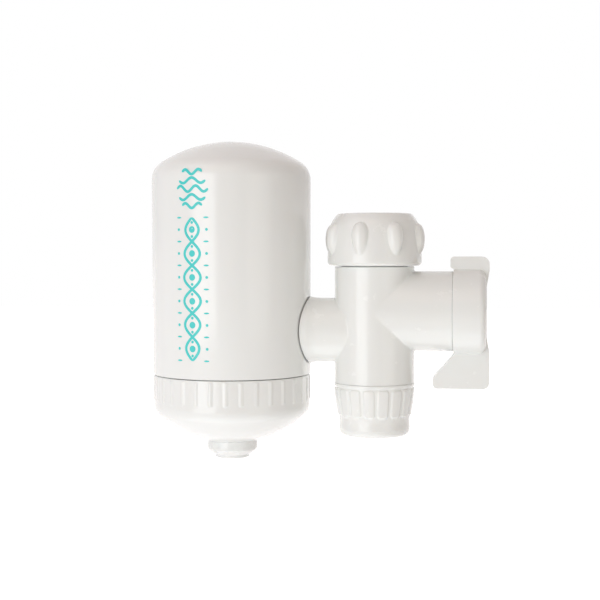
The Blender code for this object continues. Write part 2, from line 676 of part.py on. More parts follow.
def outlet_ring(plain):
    """A fluted ring on the outlet neck's thread, which holds the spray plate up by its inner lip."""
    top = tubeBottom - GAP
    bottom = top - RING_LENGTH
    waist = top - RING_WAIST_DROP
    corner = (RING_BOTTOM_RADIUS - RING_CORNER, bottom + RING_CORNER)

    def side(z):
        if z > waist:
            return TUBE_RADIUS + (RING_WAIST_RADIUS - TUBE_RADIUS) * (top - z) / RING_WAIST_DROP
        share = (waist - z) / (waist - corner[1])
        return RING_WAIST_RADIUS + (RING_BOTTOM_RADIUS - RING_WAIST_RADIUS) * share

    fluteTop = top - RING_FLUTE_TOP
    fluteBottom = top - RING_FLUTE_BOTTOM
    heights = [fluteTop + EDGE, fluteTop, waist, fluteBottom, fluteBottom - EDGE]
    outline = [(TUBE_RADIUS, top)] + [(side(z), z) for z in heights]
    outline += arc(corner, RING_CORNER, 0.0, -pi / 2, 2)
    ring = fluted("outlet_ring", outline, RING_FLUTES, 2, ring_flute_depth, 2, plain)
    bore = OUTLET_NECK_RADIUS + GAP
    lip = outletNeckBottom - GAP - GASKET_THICKNESS - GAP - SPRAY_FLANGE - GAP
    hollow = turned("ring_bore", [(0.0, top + GAP), (bore, top + GAP), (bore, lip),
                                  (SPRAY_FACE_RADIUS + GAP, lip), (SPRAY_FACE_RADIUS + GAP, bottom - GAP),
                                  (0.0, bottom - GAP)], INSIDE)
    return cut(ring, hollow)


def outlet_gasket(rubber):
    top = outletNeckBottom - GAP
    return tube("outlet_gasket", PORT_BORE, OUTLET_NECK_RADIUS, top - GASKET_THICKNESS, top, SMALL, rubber)


def spray_plate(plain):
    """A flanged cup whose floor is the perforated face of the outlet."""
    top = outletNeckBottom - 2 * GAP - GASKET_THICKNESS
    flange = top - SPRAY_FLANGE
    bottom = tubeBottom - GAP - RING_LENGTH + SPRAY_INSET
    floor = bottom + SPRAY_PLATE_THICKNESS
    bore = min(PORT_BORE, SPRAY_FACE_RADIUS - SPRAY_PLATE_THICKNESS)
    outline = [(0.0, floor), (bore, floor), (bore, top), (OUTLET_NECK_RADIUS, top)]
    outline += [(OUTLET_NECK_RADIUS, flange), (SPRAY_FACE_RADIUS, flange), (SPRAY_FACE_RADIUS, bottom + EDGE)]
    outline += [(SPRAY_FACE_RADIUS - EDGE, bottom), (0.0, bottom)]
    plate = turned("spray_plate", outline, SMALL, plain)
    for share, count in zip(SPRAY_CIRCLES, (SPRAY_HOLES // 2, SPRAY_HOLES)):
        cut(plate, ring_of_holes("spray_holes", bore * share, SPRAY_HOLE, count, bottom - GAP, floor + GAP))
    return plate


def canister_shell(plain):
    """One moulded wall: a dome, a drafted side and below the seam a narrower mouth with the thread."""
    crown = CANISTER_RADIUS + CROWN_FLATNESS
    outer = domed(CANISTER_RADIUS, crown, SHOULDER_RADIUS, canisterTop)
    inner = domed(shellInner, crown - CANISTER_WALL, SHOULDER_RADIUS - CANISTER_WALL,
                  canisterTop - CANISTER_WALL, 2)
    seamRadius = CANISTER_RADIUS - CANISTER_DRAFT
    outline = outer + [(seamRadius, seamZ + EDGE), (seamRadius - EDGE, seamZ), (mouthOuter, seamZ)]
    outline += [(mouthOuter, mouthBottom + EDGE), (mouthOuter - EDGE, mouthBottom), (mouthInner, mouthBottom)]
    outline += [(mouthInner, seamZ), (shellInner, seamZ + MOUTH_TAPER)]
    outline += inner[::-1]
    shell = turned("canister_shell", outline, FINE, plain)
    wallMiddle = CANISTER_RADIUS - CANISTER_WALL / 2
    pad = rod("pipe_pad", padRadius, padFace, sqrt(wallMiddle ** 2 - padRadius ** 2), SMALL)
    hole = rod("pipe_hole", SPIGOT_RADIUS + GAP, padFace - GAP, CANISTER_RADIUS + GAP, SMALL)
    place([shell], (canisterX, 0, 0))
    place([pad, hole], (canisterX, 0, pipeZ), pi / 2)
    return cut(join(shell, pad), hole)


def pipe_gasket(rubber):
    start = pipeGasketFace - PIPE_GASKET_THICKNESS
    return tube("pipe_gasket", SPIGOT_RADIUS + GAP, PIPE_GASKET_RADIUS, start, pipeGasketFace, SMALL, rubber)


def pipe_nut(plain):
    start = pipeNutFace - PIPE_NUT_THICKNESS
    hexagon = rod("pipe_nut", PIPE_GASKET_RADIUS, start, pipeNutFace, 6, plain)
    bore = rod("pipe_nut_bore", SPIGOT_RADIUS + GAP, start - GAP, pipeNutFace + GAP, SMALL)
    bore.parent = hexagon
    return cut(hexagon, bore)


def cap_flute_depth(z):
    return CAP_FLUTE_DEPTH if z >= capTop - CAP_FLUTE_LENGTH else 0.0


def cap_dome():
    """The cap's rounded bottom from its straight skirt to its lowest point on the axis."""
    falling = domed(capRadius - CAP_DRAFT, capCrown, CAP_CORNER_RADIUS, 0.0, 3)
    depth = falling[-1][1]
    return [(r, capSkirtBottom + depth - z) for r, z in falling[::-1]]


def seat_height(radius):
    """Where a flat seat of this radius lies on the cap's rounded bottom."""
    lowest = cap_dome()[-1][1]
    return lowest + capCrown - sqrt(capCrown ** 2 - radius ** 2)


capSeatRadius = NOZZLE_RADIUS + CAP_SEAT_MARGIN
capSeat = seat_height(capSeatRadius)
socketRim = capSeat + SOCKET_HEIGHT
baseBottom = socketRim + GAP + BASE_GASKET_THICKNESS + GAP
baseTop = baseBottom + BASE_FLOOR
candleBottom = baseTop + GAP
candleTop = canisterTop - CANISTER_WALL - CANDLE_HEADROOM


def bottom_cap(plain):
    """The fluted screw cap: a skirt over the canister's mouth, and a dome with a socket for the candle."""
    fluteBottom = capTop - CAP_FLUTE_LENGTH
    skirtRadius = capRadius - CAP_DRAFT
    outline = [(capRadius, capTop), (skirtRadius, fluteBottom), (skirtRadius, fluteBottom - EDGE)]
    dome = cap_dome()
    outline += [point for point in dome if point[0] > capSeatRadius]
    outline += [(capSeatRadius, capSeat)]
    cap = fluted("bottom_cap", outline, CAP_FLUTES, 2, cap_flute_depth, 1, plain)

    socketOuter = SOCKET_BORE + SOCKET_WALL
    crownZ = dome[-1][1] + capCrown
    crown = capCrown - CAP_WALL
    lowSlope = asin(socketOuter / crown)
    highSlope = asin(mouthInner / crown)
    floor = arc((0.0, crownZ), crown, -pi / 2 + highSlope, -pi / 2 + lowSlope, 2)
    hollow = [(socketOuter, capTop + GAP), (capInner, capTop + GAP), (capInner, capLedge)]
    hollow += [(mouthInner, capLedge)] + floor
    inside = turned("cap_inside", hollow, ROUND)
    plugHole = NOZZLE_PLUG + GAP
    plugTop = capSeat + NOZZLE_PLUG_LENGTH + GAP
    core = turned("cap_core", [(0.0, capTop + 2 * GAP), (socketOuter + GAP, capTop + 2 * GAP),
                               (socketOuter + GAP, socketRim), (SOCKET_BORE, socketRim),
                               (SOCKET_BORE, plugTop), (plugHole, plugTop), (plugHole, capSeat - GAP),
                               (0.0, capSeat - GAP)], SMALL)
    return cut(cap, inside, core)


def cap_seal(rubber):
    top = mouthBottom - GAP
    return tube("cap_seal", mouthInner, mouthOuter, top - CAP_SEAL_THICKNESS, top, ROUND, rubber)


def outlet_nozzle(plain):
    """A stepped spout plugged into the cap's bottom."""
    top = capSeat - GAP
    collar = top - NOZZLE_COLLAR
    taper = collar - NOZZLE_TAPER
    tip = taper - NOZZLE_TIP
    outline = [(NOZZLE_BORE, capSeat + NOZZLE_PLUG_LENGTH), (NOZZLE_PLUG, capSeat + NOZZLE_PLUG_LENGTH)]
    outline += [(NOZZLE_PLUG, top), (NOZZLE_RADIUS, top), (NOZZLE_RADIUS, collar)]
    outline += [(NOZZLE_RADIUS - EDGE, collar - EDGE), (NOZZLE_TIP_RADIUS + EDGE, taper)]
    outline += [(NOZZLE_TIP_RADIUS, taper), (NOZZLE_TIP_RADIUS, tip + EDGE)]
    outline += [(NOZZLE_TIP_RADIUS - EDGE, tip), (NOZZLE_BORE, tip)]
    return turned("outlet_nozzle", outline, SMALL, plain)


def candle_base(plain):
    """The cup that the candle is bonded into, with a hollow stem for the cap's socket."""
    cup = candleRadius + GAP
    stem = SOCKET_BORE - GAP
    stemEnd = socketRim - STEM_IN_SOCKET
    outline = [(STEM_BORE, baseTop), (cup, baseTop), (cup, baseTop + BASE_CUP)]
    outline += [(cup + BASE_WALL, baseTop + BASE_CUP), (cup + BASE_WALL, baseBottom), (stem, baseBottom)]
    outline += [(stem, stemEnd + EDGE), (stem - EDGE, stemEnd), (STEM_BORE, stemEnd)]
    return turned("candle_base", outline, INSIDE, plain)


def candle_gasket(rubber):
    bottom = socketRim + GAP
    return tube("candle_gasket", SOCKET_BORE, BASE_GASKET_RADIUS, bottom, bottom + BASE_GASKET_THICKNESS,
                SMALL, rubber)


def ceramic_candle(ceramic):
    crown = candleRadius + CANDLE_FLATNESS
    outer = domed(candleRadius, crown, CANDLE_CORNER_RADIUS, candleTop, 2)
    inner = domed(candleRadius - CANDLE_WALL, crown - CANDLE_WALL, CANDLE_CORNER_RADIUS - CANDLE_WALL,
                  candleTop - CANDLE_WALL, 2)
    outline = outer + [(candleRadius, candleBottom), (candleRadius - CANDLE_WALL, candleBottom)] + inner[::-1]
    return turned("ceramic_candle", outline, INSIDE, ceramic)


def felt_disc(felt):
    radius = candleRadius - CANDLE_WALL - GAP
    return rod("felt_disc", radius, candleBottom, candleBottom + FELT_THICKNESS, SMALL, felt)


def carbon_core(carbon):
    radius = candleRadius - CANDLE_WALL - GAP
    bottom = candleBottom + FELT_THICKNESS + GAP
    top = candleTop - CANDLE_WALL - CORE_HEADROOM
    outline = [(0.0, bottom), (radius, bottom), (radius, top - EDGE), (radius - EDGE, top), (0.0, top)]
    return turned("carbon_core", outline, SMALL, carbon)


def build():
    clear_scene()
    shellWhite = plastic("shell_white", (0.86, 0.85, 0.82), 0.28)
    valveWhite = plastic("valve_white", (0.84, 0.83, 0.79), 0.32)
    knobWhite = plastic("knob_white", (0.85, 0.84, 0.81), 0.30)
    nozzleWhite = plastic("nozzle_white", (0.78, 0.79, 0.78), 0.35)
    innerWhite = plastic("inner_white", (0.72, 0.73, 0.72), 0.45)
    rubber = plastic("seal_rubber", (0.02, 0.02, 0.02), 0.70)
    steel = plastic("steel", (0.60, 0.60, 0.58), 0.30, 1.0)
    brass = plastic("plated_brass", (0.62, 0.50, 0.28), 0.30, 1.0)
    ceramic = plastic("ceramic", (0.80, 0.77, 0.70), 0.90)
    carbon = plastic("carbon", (0.02, 0.02, 0.02), 0.95)
    felt = plastic("felt", (0.70, 0.68, 0.62), 1.00)

    barrelCentre = (0, 0, barrelZ)
    canisterCentre = (canisterX, 0, 0)

    inlet_washer(rubber)
    inlet_strainer(steel)
    nut_clip(steel)
    valve_body(valveWhite)
    axle("nut_axis", (0, 0, 0), [thread_insert(brass), inlet_nut(valveWhite)])

    spool = valve_spool(innerWhite)
    gland = barrel_gland(innerWhite)
    seals = [spool_seal("spool_seal_inner", spoolStart + INNER_SEAL_INSET, rubber),
             spool_seal("spool_seal_outer", OUTER_SEAL_PLACE, rubber)]
    screw = knob_screw(steel)
    cover = knob_cover(knobWhite)
    place([spool, gland, screw, cover, *seals], barrelCentre, pi / 2)
    axle("knob_axis", barrelCentre, [spool, screw, cover, switch_knob(knobWhite), *seals])

    canister_shell(shellWhite)
    place([pipe_gasket(rubber), pipe_nut(innerWhite)], (canisterX, 0, pipeZ), pi / 2)
    cartridge = [ceramic_candle(ceramic), candle_base(innerWhite), candle_gasket(rubber),
                 carbon_core(carbon), felt_disc(felt)]
    place(cartridge, canisterCentre)
    axle("cartridge_slide", canisterCentre, cartridge)
    cap = [bottom_cap(shellWhite), cap_seal(rubber), outlet_nozzle(nozzleWhite)]
    for cutter in ("cap_inside", "cap_core"):
        place([bpy.data.objects[cutter]], canisterCentre)
    place(cap, canisterCentre)
    axle("cap_axis", canisterCentre, cap)

    axle("spray_slide", (0, 0, 0), [spray_plate(nozzleWhite), outlet_gasket(rubber)])
    axle("ring_axis", (0, 0, 0), [outlet_ring(valveWhite)])


build()
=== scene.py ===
from math import asin, atan2, ceil, cos, hypot, pi, radians, sin, sqrt, tau

import bpy
import numpy as np
from mathutils import Matrix, Vector


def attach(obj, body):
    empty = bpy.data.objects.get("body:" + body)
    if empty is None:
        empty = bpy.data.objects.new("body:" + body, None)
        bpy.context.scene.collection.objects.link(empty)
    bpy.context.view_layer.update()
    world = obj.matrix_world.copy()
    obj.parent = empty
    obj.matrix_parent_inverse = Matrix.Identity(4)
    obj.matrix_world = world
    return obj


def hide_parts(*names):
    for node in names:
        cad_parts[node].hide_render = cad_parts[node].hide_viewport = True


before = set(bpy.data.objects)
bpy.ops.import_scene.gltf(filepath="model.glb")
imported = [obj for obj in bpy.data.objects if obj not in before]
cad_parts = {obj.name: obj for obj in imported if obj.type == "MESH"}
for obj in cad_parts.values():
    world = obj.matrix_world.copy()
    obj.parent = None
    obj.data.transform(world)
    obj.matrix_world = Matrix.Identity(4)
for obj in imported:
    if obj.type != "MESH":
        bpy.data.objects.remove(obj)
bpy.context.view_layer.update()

mm = 0.001
scene = bpy.context.scene
scene.view_settings.view_transform = "Standard"

# heights and places that several pieces share, in millimetres
spot = {
    "canisterX": -56.0, "canisterTop": 38.6, "seam": -51.6, "capTop": -51.9, "capLowest": -78.834,
    "capSeat": -77.626, "socketRim": -66.426, "mouthBottom": -61.6,
    "nutTop": 10.4, "nutFloorTop": -6.0, "nutBottom": -9.6, "neckTop": -2.3, "clipTop": -4.5,
    "tubeTop": -9.9, "tubeBottom": -54.5, "barrelZ": -27.0, "pipeZ": -34.4, "outletNeckBottom": -64.5,
    "barrelEnd": 30.0, "knobStart": 30.3, "knobInside": 38.3, "knobFace": 42.5, "leverMiddle": 42.8,
}
canisterFoot = (spot["canisterX"], 0, 0)
barrelStart = (0, 0, spot["barrelZ"])
pipeStart = (0, 0, spot["pipeZ"])

print("camera")
photoView = {"azimuth": 8.174, "elevation": 2.205, "roll": -0.103, "distance": 472.12,
             "lens": 73.43, "across": -28.741, "height": -22.768}


def addCamera(view):
    a, e, r = (radians(view[key]) for key in ("azimuth", "elevation", "roll"))
    back = Vector((sin(a) * cos(e), -cos(a) * cos(e), sin(e)))
    right = Vector((cos(a), sin(a), 0))
    up = back.cross(right)
    across = cos(r) * right + sin(r) * up
    upright = cos(r) * up - sin(r) * right
    target = Vector((view["across"] * cos(a), view["across"] * sin(a), view["height"])) * mm
    turn = Matrix((across, upright, back)).transposed().to_euler()
    bpy.ops.object.camera_add(location=target + back * view["distance"] * mm, rotation=turn)
    camera = bpy.context.object
    camera.data.sensor_width = 36
    camera.data.lens = view["lens"]
    camera.data.clip_start = 0.01
    scene.camera = camera


addCamera(photoView)


# tools that several pieces use

def selectNothing():
    if bpy.context.object and bpy.context.object.mode != "OBJECT":
        bpy.ops.object.mode_set(mode="OBJECT")
    bpy.ops.object.select_all(action="DESELECT")


def pick(thing, *others):
    selectNothing()
    for each in (thing, *others):
        each.select_set(True)
    bpy.context.view_layer.objects.active = thing
    return thing


def settle(thing):          # puts the place and turn into the mesh
    pick(thing)
    bpy.ops.object.transform_apply(location=True, rotation=True, scale=True)
    return thing


def softShade(thing, angle=32):
    pick(thing)
    bpy.ops.object.shade_smooth_by_angle(angle=radians(angle))
    return thing


def evenShade(thing, angle=32):                          # large faces lead the shading of small ones beside them
    softShade(thing, angle)
    even = thing.modifiers.new("even", "WEIGHTED_NORMAL")
    even.keep_sharp = True
    return applyAll(thing)


def applyAll(thing):
    pick(thing)
    for step in list(thing.modifiers):
        bpy.ops.object.modifier_apply(modifier=step.name)
    return thing


def rounded(corners, coarse=12.0):                       # a closed outline from (x, y, fillet) corners
    points = []
    count = len(corners)
    for i, (x, y, fillet) in enumerate(corners):
        here = Vector((x, y))
        if not fillet:
            points.append((x, y))
            continue
        before = (Vector(corners[i - 1][:2]) - here).normalized()
        after = (Vector(corners[(i + 1) % count][:2]) - here).normalized()
        half = before.angle(after) / 2
        centre = here + (before + after).normalized() * (fillet / sin(half))
        reach = fillet * cos(half) / sin(half)
        first, last = here + before * reach - centre, here + after * reach - centre
        steps = max(2, ceil((180 - 2 * half * 180 / pi) / coarse))
        sweep = pi - 2 * half
        for k in range(steps + 1):
            part = k / steps * sweep
            spoke = (first * sin(sweep - part) + last * sin(part)) / sin(sweep)
            points.append(tuple(centre + spoke))
    return points


def arc(centre, radius, start, end, steps):
    turns = [radians(start + (end - start) * i / steps) for i in range(steps + 1)]
    return [(centre[0] + radius * cos(t), centre[1] + radius * sin(t)) for t in turns]


def refined(outline, longest, low, high):       # splits long straight stretches between two heights
    points = []
    for a, b in zip(outline, outline[1:] + outline[:1]):
        points.append(a)
        inside = low <= min(a[1], b[1]) and max(a[1], b[1]) <= high
        pieces = ceil(hypot(b[0] - a[0], b[1] - a[1]) / longest) if inside else 1
        points += [(a[0] + (b[0] - a[0]) * k / pieces, a[1] + (b[1] - a[1]) * k / pieces) for k in range(1, pieces)]
    return points


def smoothThrough(points, steps):                        # a curve through the points
    out = []
    for i in range(len(points) - 1):
        p0, p1, p2, p3 = (Vector(points[min(max(i + k, 0), len(points) - 1)]) for k in (-1, 0, 1, 2))
        for k in range(steps):
            t = k / steps
            out.append(tuple(0.5 * (2 * p1 + (p2 - p0) * t + (2 * p0 - 5 * p1 + 4 * p2 - p3) * t * t
                                    + (3 * p1 - p0 - 3 * p2 + p3) * t ** 3)))
    return out + [tuple(points[-1])]


def drawOutline(name, outline, lift=0.0):
    # draws a closed outline of (radius, height) edge by edge, and leaves it selected in edit mode
    selectNothing()
    bpy.ops.mesh.primitive_plane_add(size=mm, location=(outline[0][0] * mm, 0, (outline[0][1] + lift) * mm))
    piece = bpy.context.object
    piece.name = piece.data.name = name
    bpy.ops.object.mode_set(mode="EDIT")
    bpy.ops.mesh.select_all(action="SELECT")
    bpy.ops.mesh.merge(type="CENTER")
    for a, b in zip(outline, outline[1:] + outline[:1]):
        step = ((b[0] - a[0]) * mm, 0, (b[1] - a[1]) * mm)
        bpy.ops.mesh.extrude_region_move(TRANSFORM_OT_translate={"value": step})
    bpy.ops.mesh.select_all(action="SELECT")
    return piece


def faceOut():
    # turns every face of the piece being edited outward, and leaves edit mode
    bpy.ops.mesh.select_all(action="SELECT")
    bpy.ops.mesh.normals_make_consistent(inside=False)
    bpy.ops.object.mode_set(mode="OBJECT")


def turned(name, outline, steps, place=(0, 0, 0), toward="Z"):
    # spins an outline into a closed piece
    piece = drawOutline(name, outline)
    bpy.ops.mesh.spin(steps=steps, angle=tau, center=(0, 0, 0), axis=(0, 0, 1))
    bpy.ops.mesh.select_all(action="SELECT")
    bpy.ops.mesh.remove_doubles(threshold=0.004 * mm)
    bpy.ops.mesh.dissolve_degenerate(threshold=0.001 * mm)
    faceOut()
    settle(piece)
    piece.rotation_euler = {"Z": (0, 0, 0), "X": (0, pi / 2, 0), "-X": (0, -pi / 2, 0)}[toward]
    piece.location = Vector(place) * mm
    return softShade(settle(piece))


def rod(name, radius, start, end, steps, place=(0, 0, 0), toward="Z"):
    return turned(name, [(0, start), (radius, start), (radius, end), (0, end)], steps, place, toward)


def combine(thing, operation, *others):
    for other in others:
        step = thing.modifiers.new(other.name, "BOOLEAN")
        step.operation, step.solver, step.object = operation, "EXACT", other
        applyAll(thing)
        bpy.data.objects.remove(other, do_unlink=True)
    return thing


def finishPiece(thing, material, body, slot, *nodes):
    thing.data.materials.clear()
    thing.data.materials.append(material)
    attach(thing, body)
    if nodes:
        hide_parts(*nodes)
    return thing


def radialShift(piece, centreX, shift):
    # moves each point to or from an upright axis, by millimetres that follow from its angle and place
    for v in piece.data.vertices:
        x, y, z = v.co.x / mm - centreX, v.co.y / mm, v.co.z / mm
        r = hypot(x, y)
        if r > 0.01:
            new = r + shift(atan2(y, x), r, z)
            v.co.x, v.co.y = (centreX + x * new / r) * mm, y * new / r * mm
    piece.data.update()
    return piece


def smoothstep(low, high, value):
    t = min(max((value - low) / (high - low), 0.0), 1.0)
    return t * t * (3 - 2 * t)


def helixRidge(name, t, place=(0, 0, 0)):
    # a thread: its section is wound up an axis with the Screw modifier, and its ends are closed
    piece = drawOutline(name, [(t["root"], -t["rootHalf"]), (t["root"], t["rootHalf"]),
                               (t["crest"], t["crestHalf"]), (t["crest"], -t["crestHalf"])], t["start"])
    bpy.ops.mesh.remove_doubles(threshold=0.002 * mm)
    bpy.ops.object.mode_set(mode="OBJECT")
    settle(piece)
    wind = piece.modifiers.new("wind", "SCREW")
    wind.angle, wind.screw_offset, wind.iterations = tau, t["pitch"] * mm, t["turns"]
    wind.steps = wind.render_steps = t["steps"]
    applyAll(piece)
    bpy.ops.object.mode_set(mode="EDIT")
    bpy.ops.mesh.select_mode(type="EDGE")
    bpy.ops.mesh.select_all(action="DESELECT")
    bpy.ops.mesh.select_non_manifold()
    bpy.ops.mesh.edge_face_add()
    bpy.ops.mesh.select_mode(type="VERT")
    bpy.ops.mesh.select_all(action="SELECT")
    bpy.ops.mesh.fill_holes(sides=0)
    bpy.ops.mesh.normals_make_consistent(inside=False)
    bpy.ops.object.mode_set(mode="OBJECT")
    piece.location = Vector(place) * mm
    return softShade(settle(piece), 40)


print("materials")


def nodeIn(tree, kind, sockets=None, **values):
    # each input in sockets gets a number, a colour or another node's output
    node = tree.nodes.new(kind)
    for key, value in values.items():
        setattr(node, key, value)
    for key, value in (sockets or {}).items():
        if isinstance(value, bpy.types.NodeSocket):
            tree.links.new(value, node.inputs[key])
        else:
            node.inputs[key].default_value = value
    return node


def shaderGroup(name, inputs):
    # a group that takes the inputs and gives a colour, a roughness and a normal
    group = bpy.data.node_groups.new(name, "ShaderNodeTree")
    for socket, kind, value in inputs:
        made = group.interface.new_socket(name=socket, in_out="INPUT", socket_type="NodeSocket" + kind)
        made.default_value = value
    for socket, kind in (("Colour", "Color"), ("Roughness", "Float"), ("Normal", "Vector")):
        group.interface.new_socket(name=socket, in_out="OUTPUT", socket_type="NodeSocket" + kind)
    place = nodeIn(group, "ShaderNodeTexCoord").outputs["Object"]
    return group, place, nodeIn(group, "NodeGroupInput").outputs


def noise(tree, **sockets):
    return nodeIn(tree, "ShaderNodeTexNoise", sockets).outputs["Fac"]


def spread(tree, value, low, high, sockets=None):
    # the value runs from low to high, the result from 0 to 1 or between the given ends
    made = nodeIn(tree, "ShaderNodeMapRange", {"Value": value, "From Min": low, "From Max": high, **(sockets or {})})
    return made.outputs["Result"]


def times(tree, first, second):
    return nodeIn(tree, "ShaderNodeMath", {0: first, 1: second}, operation="MULTIPLY").outputs["Value"]


def blend(tree, share, first, second):
    mixed = nodeIn(tree, "ShaderNodeMix", {"Factor": share, "A": first, "B": second}, data_type="RGBA")
    return mixed.outputs["Result"]


def bump(tree, **sockets):
    return nodeIn(tree, "ShaderNodeBump", sockets).outputs["Normal"]


def giveOut(group, colour, roughness, normal):
    nodeIn(group, "NodeGroupOutput", {"Colour": colour, "Roughness": roughness, "Normal": normal})
    return group


def mouldedSurface():
    # moulded plastic: faint flow clouds in the colour, finger smears in the gloss, a fine waviness
    group, place, given = shaderGroup("mouldedSurface", [
        ("Colour", "Color", (0.85, 0.84, 0.81, 1)), ("Deep Colour", "Color", (0.8, 0.78, 0.73, 1)),
        ("Clouds", "Float", 0.25), ("Gloss Low", "Float", 0.24), ("Gloss High", "Float", 0.36),
        ("Wave", "Float", 0.02), ("Grain", "Float", 0.02)])
    clouds = noise(group, Vector=place, Scale=34, Detail=3)
    smear = noise(group, Vector=place, Scale=170, Detail=5, Roughness=0.62)
    wave = noise(group, Vector=place, Scale=260, Detail=1)
    grain = noise(group, Vector=place, Scale=5200, Detail=2)
    share = times(group, spread(group, clouds, 0.42, 0.72), given["Clouds"])
    waviness = bump(group, Height=wave, Strength=given["Wave"], Distance=0.0004)
    return giveOut(
        group, blend(group, share, given["Colour"], given["Deep Colour"]),
        spread(group, smear, 0.35, 0.68, {"To Min": given["Gloss Low"], "To Max": given["Gloss High"]}),
        bump(group, Height=grain, Strength=given["Grain"], Distance=0.00006, Normal=waviness))


def grainySurface():
    # coarse matt stuff: two sizes of grain, mottled between two colours, with dark pores
    group, place, given = shaderGroup("grainySurface", [
        ("Colour", "Color", (0.8, 0.77, 0.7, 1)), ("Pore Colour", "Color", (0.5, 0.46, 0.4, 1)),
        ("Scale", "Float", 900.0), ("Pores", "Float", 0.4), ("Roughness", "Float", 0.9), ("Relief", "Float", 0.5)])
    cells = nodeIn(group, "ShaderNodeTexVoronoi", {"Vector": place, "Scale": given["Scale"]})
    fine = noise(group, Vector=place, Scale=given["Scale"], Detail=6)
    pores = times(group, spread(group, cells.outputs["Distance"], 0.15, 0.75), given["Pores"])
    dull = nodeIn(group, "ShaderNodeMath", {0: fine, 1: 0.12, 2: given["Roughness"]}, operation="MULTIPLY_ADD")
    height = nodeIn(group, "ShaderNodeMath", {0: fine, 1: pores}, operation="SUBTRACT")
    return giveOut(
        group, blend(group, pores, given["Colour"], given["Pore Colour"]), dull.outputs["Value"],
        bump(group, Height=height.outputs["Value"], Strength=given["Relief"], Distance=0.0003))


def turnedMetal():
    # bright metal with fine tool lines around the upright axis and a little tarnish
    group, place, given = shaderGroup("turnedMetal", [
        ("Colour", "Color", (0.6, 0.6, 0.58, 1)), ("Tarnish", "Color", (0.4, 0.38, 0.34, 1)),
        ("Lines", "Float", 4000.0), ("Gloss Low", "Float", 0.22), ("Gloss High", "Float", 0.4)])
    stretch = nodeIn(group, "ShaderNodeMapping", {"Vector": place, "Scale": (0.02, 0.02, 1.0)})
    lines = noise(group, Vector=stretch.outputs["Vector"], Scale=given["Lines"], Detail=2)
    spots = noise(group, Vector=place, Scale=420, Detail=5)
    return giveOut(
        group, blend(group, spread(group, spots, 0.45, 0.8), given["Colour"], given["Tarnish"]),
        spread(group, spots, 0, 1, {"To Min": given["Gloss Low"], "To Max": given["Gloss High"]}),
        bump(group, Height=lines, Strength=0.25, Distance=0.00003))


groups = {"moulded": mouldedSurface(), "grainy": grainySurface(), "metal": turnedMetal()}


def material(name, kind, values, **fixed):
    made = bpy.data.materials.new(name)
    made.use_nodes = True
    tree = made.node_tree
    shader = tree.nodes["Principled BSDF"]
    values = {key: (*value, 1) if isinstance(value, tuple) else value for key, value in values.items()}
    surface = nodeIn(tree, "ShaderNodeGroup", values, node_tree=groups[kind])
    tree.links.new(surface.outputs["Colour"], shader.inputs["Base Color"])
    tree.links.new(surface.outputs["Roughness"], shader.inputs["Roughness"])
    tree.links.new(surface.outputs["Normal"], shader.inputs["Normal"])
    for key, value in fixed.items():
        shader.inputs[key.replace("_", " ")].default_value = value
    return made


plastic = {"IOR": 1.49, "Coat_Weight": 0.3, "Coat_Roughness": 0.07, "Subsurface_Weight": 0.12,
           "Subsurface_Radius": (0.0012, 0.001, 0.0008), "Subsurface_Scale": 1.0}   # light sinks a little way in
shellWhite = material("shellWhite", "moulded", {
    "Colour": (0.848, 0.858, 0.842), "Deep Colour": (0.825, 0.832, 0.808), "Clouds": 0.14,
    "Gloss Low": 0.17, "Gloss High": 0.25, "Wave": 0.02, "Grain": 0.05}, **plastic)
valveWhite = material("valveWhite", "moulded", {
    "Colour": (0.848, 0.858, 0.838), "Deep Colour": (0.82, 0.826, 0.795), "Clouds": 0.16,
    "Gloss Low": 0.19, "Gloss High": 0.28, "Wave": 0.03, "Grain": 0.07}, **plastic)
knobWhite = material("knobWhite", "moulded", {
    "Colour": (0.848, 0.86, 0.842), "Deep Colour": (0.82, 0.828, 0.805), "Clouds": 0.16,
    "Gloss Low": 0.19, "Gloss High": 0.28, "Wave": 0.03, "Grain": 0.07}, **plastic)
nozzleWhite = material("nozzleWhite", "moulded", {
    "Colour": (0.82, 0.825, 0.81), "Deep Colour": (0.77, 0.775, 0.76), "Clouds": 0.3,
    "Gloss Low": 0.22, "Gloss High": 0.32, "Wave": 0.03, "Grain": 0.08}, **plastic)
innerWhite = material("innerWhite", "moulded", {
    "Colour": (0.72, 0.73, 0.72), "Deep Colour": (0.66, 0.665, 0.65), "Clouds": 0.5,
    "Gloss Low": 0.42, "Gloss High": 0.55, "Wave": 0.02, "Grain": 0.25}, IOR=1.49)
rubber = material("sealRubber", "grainy", {
    "Colour": (0.022, 0.022, 0.022), "Pore Colour": (0.035, 0.034, 0.033), "Scale": 2600.0, "Pores": 0.6,
    "Roughness": 0.62, "Relief": 0.12})
steel = material("steelBright", "metal", {
    "Colour": (0.62, 0.62, 0.60), "Tarnish": (0.47, 0.46, 0.44), "Lines": 5200.0}, Metallic=1.0)
brass = material("turnedBrass", "metal", {
    "Colour": (0.62, 0.50, 0.28), "Tarnish": (0.44, 0.32, 0.15), "Lines": 4200.0,
    "Gloss Low": 0.25, "Gloss High": 0.45}, Metallic=1.0)
ceramic = material("firedCeramic", "grainy", {
    "Colour": (0.82, 0.79, 0.72), "Pore Colour": (0.68, 0.63, 0.54), "Scale": 1500.0, "Pores": 0.45,
    "Roughness": 0.84, "Relief": 0.3})
carbon = material("carbonGrains", "grainy", {
    "Colour": (0.030, 0.029, 0.028), "Pore Colour": (0.008, 0.008, 0.008), "Scale": 950.0, "Pores": 1.0,
    "Roughness": 0.78, "Relief": 1.0})
felt = material("woolFelt", "grainy", {
    "Colour": (0.72, 0.70, 0.64), "Pore Colour": (0.52, 0.49, 0.43), "Scale": 1900.0, "Pores": 0.5,
    "Roughness": 0.88, "Relief": 0.8})
